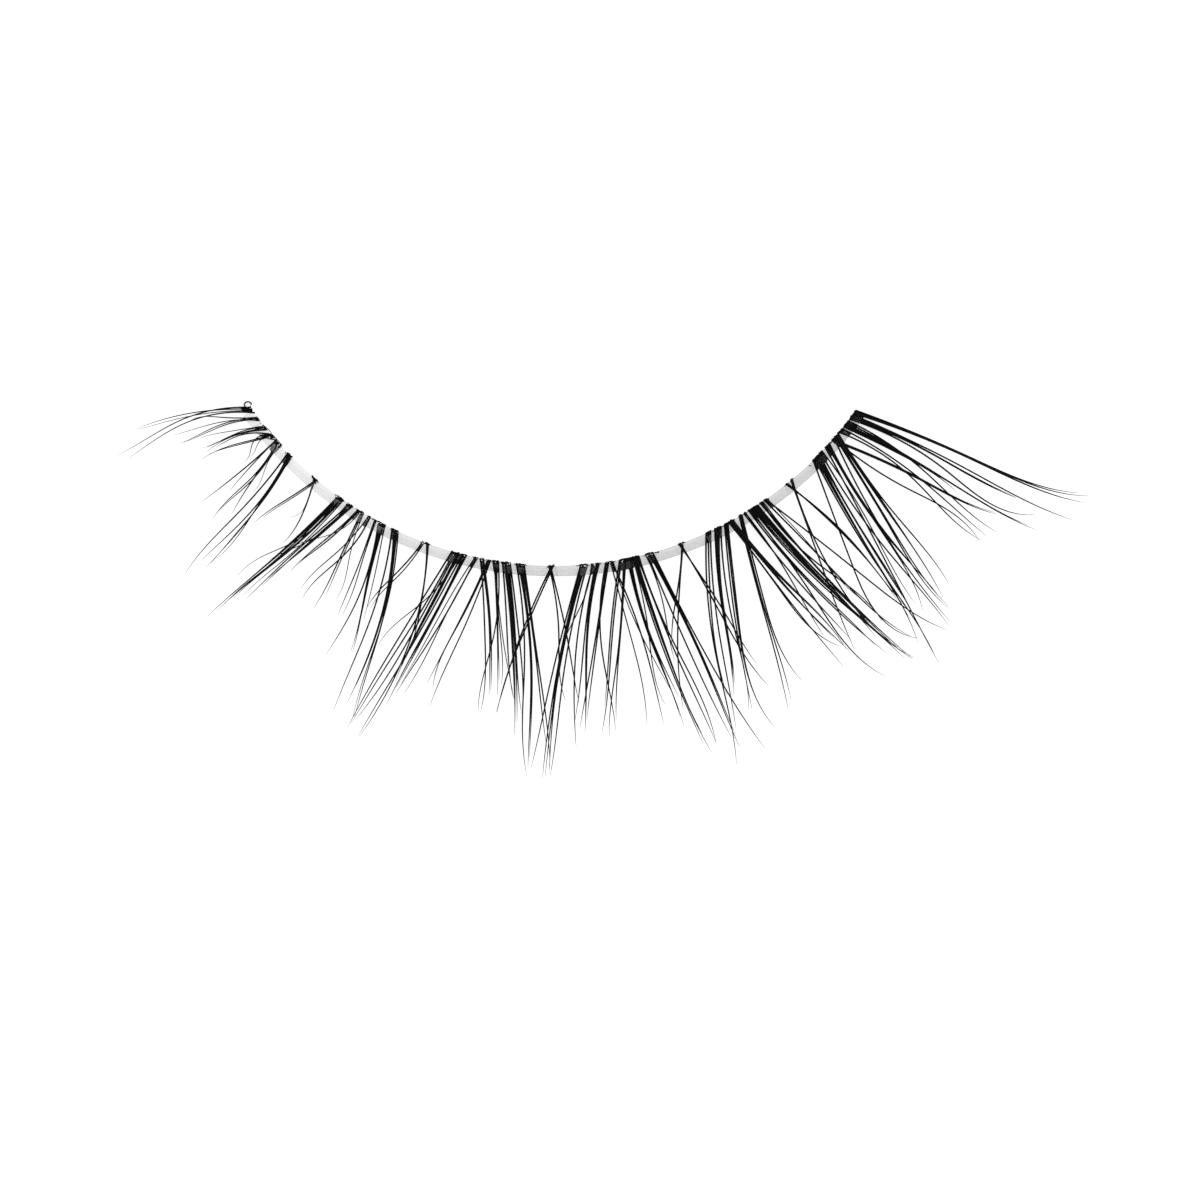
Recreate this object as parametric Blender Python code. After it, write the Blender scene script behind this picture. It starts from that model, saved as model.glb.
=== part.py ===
"""False eyelash strip: a clear curved band that carries tufts of black lash fibre.

The strip rests on its flat underside and is seen from above (+Z). The outer corner of the eye is
at +X, the lashes reach towards -Y and curl up, and the origin is the middle of the underside.
Units are metres.
"""
import math
from collections import namedtuple

import bmesh
import bpy
from mathutils import Vector

MM = 0.001

# Clear band, a flat ribbon on an arc
BAND_LENGTH = 35.0 * MM              # along its middle, from corner to corner
BAND_SPREAD = math.radians(109.0)    # how far the arc turns
BAND_WIDTH = 0.44 * MM
BAND_THICKNESS = 0.12 * MM
BAND_SEGMENTS = 36
END_BEAD_DIAMETER = 0.62 * MM        # drop of glue at the inner corner
END_BEAD_SIDES = 12

# Lashes
LASH_REACH = 12.0 * MM               # the longest lash, measured in the plan view
LASH_CURL = math.radians(50.0)       # how steeply that lash's tip rises
FIBRE_THICKNESS = 0.085 * MM
TIP_SHARE = 0.28                     # a tip's thickness as a share of its lock's
LOCK_SEGMENTS = 5
MOST_EXACT_PIECES = 5                # that the exact solver fuses into one body
KNOT_OVERHANG = 0.10 * MM            # the knot starts this far inside the band's inner edge
KNOT_WALL = 0.035 * MM               # glue round the fibres of a knot
SEAT_GAP = 0.02 * MM                 # between the band's top and a knot
LAYER_STEP = 0.13 * MM               # a tuft that crosses its neighbour passes this much higher
LAYER_RAMP = 0.9 * MM                # and takes this far from its root to get there

BAND_RADIUS = BAND_LENGTH / BAND_SPREAD
ARC_CENTRE = Vector((0.0, BAND_RADIUS, 0.0))

# Each tuft has its place along the band, from the inner corner (0) to the outer corner (1), the
# layer that it passes its neighbours in, and its locks. A lock has its aim from straight down
# (degrees, towards the outer corner), the turn that it makes on its way to the tip, its reach as
# a share of the longest lash, and its number of fibres.
Tuft = namedtuple("Tuft", "name place layer locks")
Lock = namedtuple("Lock", "aim turn reach fibres")

TUFTS = [
    #     name          place  layer  locks: aim, turn, reach, fibres
    Tuft("lash_tuft_01", 0.000, 1, [(-107, 66, 0.60, 2), (-99, 60, 0.55, 2), (-86, 6, 0.49, 2)]),
    Tuft("lash_tuft_02", 0.016, 0, [(-87, 24, 0.34, 2)]),
    Tuft("lash_tuft_03", 0.032, 2, [(-83, 27, 0.28, 3), (-80, -2, 0.27, 1)]),
    Tuft("lash_tuft_04", 0.047, 1, [(-97, 48, 0.32, 2), (-90, 68, 0.14, 2)]),
    Tuft("lash_tuft_05", 0.062, 0, [(-54, 3, 0.38, 3), (-34, -2, 0.34, 1), (-18, -46, 0.38, 3)]),
    Tuft("lash_tuft_06", 0.083, 1, [(-36, -10, 0.64, 3), (-25, -33, 0.55, 2)]),
    Tuft("cross_pair_1", 0.133, 0, [(-54, -5, 0.29, 2), (-12, -30, 0.28, 2)]),
    Tuft("lash_tuft_07", 0.177, 1, [(-51, -7, 0.50, 1), (-50, 3, 0.72, 4), (-43, -8, 0.60, 2)]),
    Tuft("lash_tuft_08", 0.194, 2, [(-45, -7, 0.56, 3), (-44, -16, 0.46, 2)]),
    Tuft("lash_tuft_09", 0.212, 0, [(-50, 0, 0.36, 2), (-18, -14, 0.42, 2), (-8, -11, 0.33, 1)]),
    Tuft("lash_tuft_10", 0.229, 3, [(-62, 30, 0.41, 2), (-11, -10, 0.40, 1), (-6, -27, 0.40, 2)]),
    Tuft("lash_tuft_11", 0.246, 1, [(-6, -33, 0.58, 4), (-1, -29, 0.49, 2)]),
    Tuft("lash_tuft_12", 0.267, 2, [(-2, -34, 0.78, 3), (0, -32, 0.75, 2), (3, -30, 0.77, 2)]),
    Tuft("cross_pair_2", 0.311, 3, [(-47, 10, 0.35, 2), (2, -30, 0.66, 2)]),
    Tuft("lash_tuft_13", 0.359, 0, [(-36, 8, 0.87, 4), (-32, 11, 0.84, 2), (-15, -52, 0.50, 1)]),
    Tuft("lash_tuft_14", 0.372, 2, [(-25, -6, 0.68, 2), (-22, -8, 0.59, 1)]),
    Tuft("lash_tuft_15", 0.386, 1, [(-32, 8, 0.59, 3), (8, -15, 0.61, 2), (12, -12, 0.57, 2)]),
    Tuft("lash_tuft_16", 0.413, 2, [(-34, 19, 0.55, 1), (-28, 9, 0.65, 2), (4, -3, 0.53, 2),
                                    (10, -31, 0.52, 2), (12, -5, 0.42, 1)]),
    Tuft("lash_tuft_17", 0.432, 0, [(-3, 11, 0.45, 1), (4, -5, 0.69, 2), (7, -6, 0.75, 2),
                                    (15, -14, 0.45, 1)]),
    Tuft("lash_tuft_18", 0.452, 1, [(6, -9, 0.86, 3), (10, -15, 0.86, 2), (14, -11, 0.79, 3)]),
    Tuft("cross_pair_3", 0.496, 3, [(-25, 8, 0.65, 2), (6, 0, 0.55, 1), (16, -17, 0.75, 2)]),
    Tuft("lash_tuft_19", 0.542, 0, [(-21, 18, 0.86, 2), (-18, 18, 0.93, 2), (-16, 1, 0.82, 1),
                                    (-12, 5, 0.87, 1)]),
    Tuft("lash_tuft_20", 0.558, 1, [(-18, 23, 0.77, 2), (-13, 15, 0.73, 2), (-10, 12, 0.69, 2)]),
    Tuft("lash_tuft_21", 0.580, 2, [(-16, 17, 0.63, 2), (-8, 19, 0.64, 1), (15, -4, 0.67, 2),
                                    (25, -13, 0.68, 2)]),
    Tuft("lash_tuft_22", 0.602, 0, [(-13, 12, 0.72, 2), (-4, 2, 0.75, 2), (16, 4, 0.70, 3)]),
    Tuft("lash_tuft_23", 0.617, 3, [(23, -7, 0.81, 3), (27, -7, 0.85, 2)]),
    Tuft("lash_tuft_24", 0.637, 1, [(17, -7, 0.31, 1), (20, 7, 0.82, 1), (27, 6, 0.92, 4),
                                    (30, -7, 0.88, 2)]),
    Tuft("cross_pair_4", 0.684, 2, [(-6, 11, 0.63, 2), (29, 6, 0.58, 1), (32, -1, 0.71, 2)]),
    Tuft("lash_tuft_25", 0.728, 0, [(-6, 25, 0.97, 2), (1, 11, 0.69, 2)]),
    Tuft("lash_tuft_26", 0.741, 1, [(-3, 24, 0.88, 2), (1, 9, 0.83, 2), (8, 6, 0.58, 1)]),
    Tuft("lash_tuft_27", 0.755, 2, [(-2, 30, 0.86, 2), (4, 5, 0.79, 2)]),
    Tuft("lash_tuft_28", 0.769, 3, [(28, 25, 0.69, 3), (34, 6, 0.76, 3), (42, 4, 0.61, 1)]),
    Tuft("lash_tuft_29", 0.783, 1, [(5, 26, 0.74, 2), (9, 12, 0.80, 2)]),
    Tuft("lash_tuft_30", 0.798, 2, [(31, 14, 0.80, 2), (36, 7, 0.74, 3), (40, -2, 0.87, 3),
                                    (44, 0, 0.80, 3)]),
    Tuft("lash_tuft_31", 0.812, 0, [(41, 17, 0.86, 2), (45, 4, 0.73, 2)]),
    Tuft("lash_tuft_32", 0.826, 3, [(45, -2, 0.58, 2), (54, 2, 0.92, 2)]),
    Tuft("cross_pair_5", 0.860, 1, [(20, 32, 0.90, 2), (25, -4, 0.68, 2), (44, -4, 0.69, 2)]),
    Tuft("lash_tuft_33", 0.916, 0, [(8, 28, 0.72, 1), (28, 4, 0.99, 3), (31, 0, 0.94, 4)]),
    Tuft("lash_tuft_34", 0.935, 2, [(21, 22, 0.89, 3), (27, 12, 0.86, 2)]),
    Tuft("lash_tuft_35", 0.951, 1, [(32, 9, 0.75, 2), (36, -3, 0.91, 2), (59, -9, 0.73, 1),
                                    (61, 9, 0.72, 2)]),
    Tuft("lash_tuft_36", 0.965, 3, [(61, -14, 0.73, 2), (64, -14, 0.78, 1)]),
    Tuft("lash_tuft_37", 0.979, 2, [(62, -3, 0.89, 3), (66, -14, 0.86, 3)]),
    Tuft("lash_tuft_38", 0.993, 0, [(56, 13, 0.86, 1), (68, -5, 1.00, 3), (72, -3, 0.99, 2),
                                    (74, -5, 1.00, 3)]),
]


def material(name, colour, roughness, alpha=1.0):
    """A plain material with one colour."""
    made = bpy.data.materials.new(name)
    made.use_nodes = True
    shader = made.node_tree.nodes["Principled BSDF"]
    shader.inputs["Base Color"].default_value = (*colour, 1.0)
    shader.inputs["Roughness"].default_value = roughness
    shader.inputs["Metallic"].default_value = 0.0
    shader.inputs["Alpha"].default_value = alpha
    return made


def arc_point(share, radius):
    """A point at a share of the band's arc, at a radius from the arc's centre."""
    angle = (share - 0.5) * BAND_SPREAD
    return ARC_CENTRE + radius * Vector((math.sin(angle), -math.cos(angle), 0.0))


def as_mesh(curve_object, collection):
    """The closed mesh of a curve object, which it replaces."""
    bpy.context.view_layer.update()
    evaluated = curve_object.evaluated_get(bpy.context.evaluated_depsgraph_get())
    mesh = bpy.data.meshes.new_from_object(evaluated)
    shape = bmesh.new()
    shape.from_mesh(mesh)
    bmesh.ops.remove_doubles(shape, verts=shape.verts, dist=0.001 * MM)
    bmesh.ops.recalc_face_normals(shape, faces=shape.faces)
    shape.transform(curve_object.matrix_world)
    shape.to_mesh(mesh)
    shape.free()
    made = bpy.data.objects.new(curve_object.name + "_mesh", mesh)
    collection.objects.link(made)
    bpy.data.objects.remove(curve_object)
    return made


def ribbon(name, outline, thickness, collection):
    """A flat outline at z = 0 with its thickness above it."""
    curve = bpy.data.curves.new(name, "CURVE")
    curve.dimensions = "2D"
    curve.fill_mode = "BOTH"
    curve.extrude = thickness / 2
    spline = curve.splines.new("POLY")
    spline.points.add(len(outline) - 1)
    for point, place in zip(spline.points, outline):
        point.co = (place.x, place.y, 0.0, 1.0)
    spline.use_cyclic_u = True
    made = bpy.data.objects.new(name, curve)
    made.location.z = thickness / 2
    collection.objects.link(made)
    return as_mesh(made, collection)


def tube(name, path, radii, resolution, collection):
    """A capped tube along a path, with a radius at each point."""
    curve = bpy.data.curves.new(name, "CURVE")
    curve.dimensions = "3D"
    curve.bevel_depth = 1.0
    curve.bevel_resolution = resolution
    curve.use_fill_caps = True
    spline = curve.splines.new("POLY")
    spline.points.add(len(path) - 1)
    for point, place, radius in zip(spline.points, path, radii):
        point.co = (*place, 1.0)
        point.radius = radius
    made = bpy.data.objects.new(name, curve)
    collection.objects.link(made)
    return as_mesh(made, collection)


def fuse(name, pieces, collection):
    """One closed body from pieces that overlap; the pieces are used up.

    The exact solver loses locks where five of them meet in one knot.
    """
    body = pieces[0]
    for piece in pieces[1:]:
        union = body.modifiers.new("fuse", "BOOLEAN")
        union.operation = "UNION"
        union.solver = "EXACT" if len(pieces) <= MOST_EXACT_PIECES else "MANIFOLD"
        union.object = piece
    bpy.context.view_layer.update()
    evaluated = body.evaluated_get(bpy.context.evaluated_depsgraph_get())
    made = bpy.data.objects.new(name, bpy.data.meshes.new_from_object(evaluated))
    collection.objects.link(made)
    for piece in pieces:
        bpy.data.objects.remove(piece)
    return made


def smooth(share):
    """Eases from 0 to 1."""
    share = min(max(share, 0.0), 1.0)
    return share * share * (3.0 - 2.0 * share)


def knot_radius(tuft):
    """A knot is as thick as its fibres, packed together, and the glue round them."""
    fibres = sum(Lock(*row).fibres for row in tuft.locks)
    return FIBRE_THICKNESS / 2 * math.sqrt(fibres) + KNOT_WALL


def knot_axis(tuft):
    """The way that a knot points: between its locks, and across the band."""
    aims = [math.radians(Lock(*row).aim) for row in tuft.locks]
    across = (tuft.place - 0.5) * BAND_SPREAD
    aim = (sum(aims) / len(aims) + across) / 2
    return Vector((math.sin(aim), -math.cos(aim), 0.0))


def knot_start(tuft):
    """The middle of a knot's end at the band's inner edge."""
    start = arc_point(tuft.place, BAND_RADIUS - BAND_WIDTH / 2 - KNOT_OVERHANG)
    return start + Vector((0.0, 0.0, BAND_THICKNESS + SEAT_GAP + knot_radius(tuft)))


def build_knot(tuft, collection):
    """The blob of glue that gathers a tuft's fibres on the band."""
    start = knot_start(tuft)
    axis = knot_axis(tuft)
    length = BAND_WIDTH + KNOT_OVERHANG
    radius = knot_radius(tuft)
    path = [start + axis * length * share for share in (0.0, 0.2, 0.7, 1.0)]
    return tube(tuft.name + "_knot", path, [radius * 0.6, radius, radius * 0.9, radius * 0.5], 1,
                collection)


def lock_path(tuft, lock, sideways):
    """The points of a lock: it turns evenly in plan and curls up more steeply as it goes."""
    point = knot_start(tuft) + knot_axis(tuft) * KNOT_OVERHANG + sideways
    base = point.z
    step = lock.reach * LASH_REACH / LOCK_SEGMENTS
    path = [point.copy()]
    for number in range(LOCK_SEGMENTS):
        heading = math.radians(lock.aim + lock.turn * (number + 0.5) / LOCK_SEGMENTS)
        travelled = (number + 0.5) * step
        rise = math.tan(LASH_CURL * travelled / LASH_REACH)
        base += rise * step
        point += Vector((math.sin(heading), -math.cos(heading), 0.0)) * step
        layer = tuft.layer * LAYER_STEP * smooth((number + 1) * step / LAYER_RAMP)
        path.append(Vector((point.x, point.y, base + layer)))
    return path


def build_lock(tuft, number, collection):
    """A tapered lock of fibres that leaves its tuft's knot."""
    lock = Lock(*tuft.locks[number])
    across = knot_axis(tuft).cross(Vector((0.0, 0.0, 1.0)))
    side = 0.5 - (number + 0.5) / len(tuft.locks)
    path = lock_path(tuft, lock, across * side * knot_radius(tuft))
    radius = FIBRE_THICKNESS / 2 * math.sqrt(lock.fibres)
    radii = [radius * (1.0 - (1.0 - TIP_SHARE) * (place / LOCK_SEGMENTS) ** 2)
             for place in range(LOCK_SEGMENTS + 1)]
    return tube(f"{tuft.name}_lock_{number}", path, radii, 0, collection)


def build_tuft(tuft, collection):
    """A knot with its locks, as one body."""
    locks = [build_lock(tuft, number, collection) for number in range(len(tuft.locks))]
    return fuse(tuft.name, [build_knot(tuft, collection), *locks], collection)


def build_band(collection):
    """The clear band: an arc of ribbon that ends in a drop of glue at the inner corner."""
    inner = BAND_RADIUS - BAND_WIDTH / 2
    outer = BAND_RADIUS + BAND_WIDTH / 2
    shares = [number / BAND_SEGMENTS for number in range(BAND_SEGMENTS + 1)]
    outline = [arc_point(share, inner) for share in shares]
    outline += [arc_point(share, outer) for share in reversed(shares)]
    strip = ribbon("strip", outline, BAND_THICKNESS, collection)
    bead_mesh = bpy.data.meshes.new("bead")
    shape = bmesh.new()
    bmesh.ops.create_cone(shape, cap_ends=True, segments=END_BEAD_SIDES, depth=BAND_THICKNESS * 2,
                          radius1=END_BEAD_DIAMETER / 2, radius2=END_BEAD_DIAMETER / 3)
    bmesh.ops.translate(shape, verts=shape.verts,
                        vec=arc_point(0.0, BAND_RADIUS) + Vector((0.0, 0.0, BAND_THICKNESS)))
    shape.to_mesh(bead_mesh)
    shape.free()
    bead = bpy.data.objects.new("bead", bead_mesh)
    collection.objects.link(bead)
    return fuse("clear_band", [strip, bead], collection)


def main():
    for leftover in list(bpy.data.objects):
        bpy.data.objects.remove(leftover)
    collection = bpy.data.collections.new("false_eyelash_strip")
    bpy.context.scene.collection.children.link(collection)
    clear_film = material("clear_film", (0.86, 0.87, 0.87), 0.25, 0.5)
    black_fibre = material("black_fibre", (0.012, 0.011, 0.012), 0.45)
    build_band(collection).data.materials.append(clear_film)
    for tuft in TUFTS:
        build_tuft(tuft, collection).data.materials.append(black_fibre)


main()
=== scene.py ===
# %% [markdown]
# A false eyelash strip is a thin clear band, curved like the eyelid that it is glued to, with tufts
# of black fibre fixed to it by their roots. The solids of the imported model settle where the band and
# each tuft are. This lesson dresses them: single fibres, the clear films that hold their roots, and
# the soft white light that such a small thing is photographed in.
#
# The band's middle is at the origin, the outer corner of the eye is at +X, the lashes reach towards
# -Y and curl up towards +Z. Lengths are in metres, so most of them are written as a number of MM.

# %% Load the frame
import math
import random
from collections import namedtuple

import bmesh
import bpy
from mathutils import Matrix, Vector


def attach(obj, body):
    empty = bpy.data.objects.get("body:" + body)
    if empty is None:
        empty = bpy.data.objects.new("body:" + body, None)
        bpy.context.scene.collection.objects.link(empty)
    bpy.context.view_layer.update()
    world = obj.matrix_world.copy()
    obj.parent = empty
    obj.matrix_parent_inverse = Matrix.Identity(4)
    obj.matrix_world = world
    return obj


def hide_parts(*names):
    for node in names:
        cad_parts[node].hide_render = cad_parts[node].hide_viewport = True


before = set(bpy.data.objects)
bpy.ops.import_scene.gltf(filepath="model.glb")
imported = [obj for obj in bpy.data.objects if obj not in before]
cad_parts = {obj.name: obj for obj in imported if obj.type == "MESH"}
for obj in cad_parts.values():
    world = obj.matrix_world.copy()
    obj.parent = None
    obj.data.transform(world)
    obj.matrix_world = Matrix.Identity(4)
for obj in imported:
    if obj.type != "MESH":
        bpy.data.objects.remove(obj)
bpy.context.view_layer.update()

MM = 0.001
print("solids in the frame:", len(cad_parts))

# %% [markdown]
# The strip was photographed from straight above, lying on its flat underside. A parallel camera
# keeps the plan true, as a lens a long way off does, and the lashes that curl up towards it don't
# grow. The band's curve in the photograph, drawn as an arc, settles the scale: its radius there
# stands for the radius of the real band.

# %% Sizes of the band, and the camera above it
BAND_LENGTH = 35.0 * MM
BAND_SPREAD = math.radians(109.0)
BAND_WIDTH = 0.44 * MM
BAND_THICKNESS = 0.12 * MM
BAND_RADIUS = BAND_LENGTH / BAND_SPREAD
ARC_CENTRE = Vector((0.0, BAND_RADIUS, 0.0))

PHOTO_SIZE = 1200                    # pixels
PHOTO_ARC_RADIUS = 376               # pixels, of the band's middle line
PHOTO_ORIGIN = (554, 571)            # pixels, the band's middle
PIXEL = BAND_RADIUS / PHOTO_ARC_RADIUS
CAMERA_HEIGHT = 0.3

camera_data = bpy.data.cameras.new("camera")
camera_data.type = "ORTHO"
camera_data.ortho_scale = PHOTO_SIZE * PIXEL
camera_data.clip_start = 0.01
camera = bpy.data.objects.new("camera", camera_data)
camera.location = (
    (PHOTO_SIZE / 2 - PHOTO_ORIGIN[0]) * PIXEL,
    (PHOTO_ORIGIN[1] - PHOTO_SIZE / 2) * PIXEL,
    CAMERA_HEIGHT,
)
bpy.context.scene.collection.objects.link(camera)
bpy.context.scene.camera = camera
print("one pixel is", round(PIXEL / MM, 4), "mm, the view is", round(PHOTO_SIZE * PIXEL / MM, 1), "mm wide")

# %% [markdown]
# Every strand of the strip is written in a chart. A tuft has its place along the band from the
# inner corner (0) to the outer corner (1), the width of its root
# block in millimetres, and the layer that it passes its neighbours in. A strand has its aim from
# straight down (degrees, towards the outer corner), the even turn that it makes on its way, the
# flick that its outer half adds, its reach as a share of the longest lash, its number of fibres,
# how far those spread at their tips in millimetres, and their thickness as a share of the usual.
# The places, widths, layers, fibres, spreads and thicknesses were judged. Aim, turn, flick and
# reach weren't: a separate program fitted them, by least squares, to way points that had been
# read by eye along each lash of the photograph.

# %% The chart of strands
Tuft = namedtuple("Tuft", "name place width layer strands")
Strand = namedtuple("Strand", "aim turn flick reach fibres tips weight")

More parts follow.
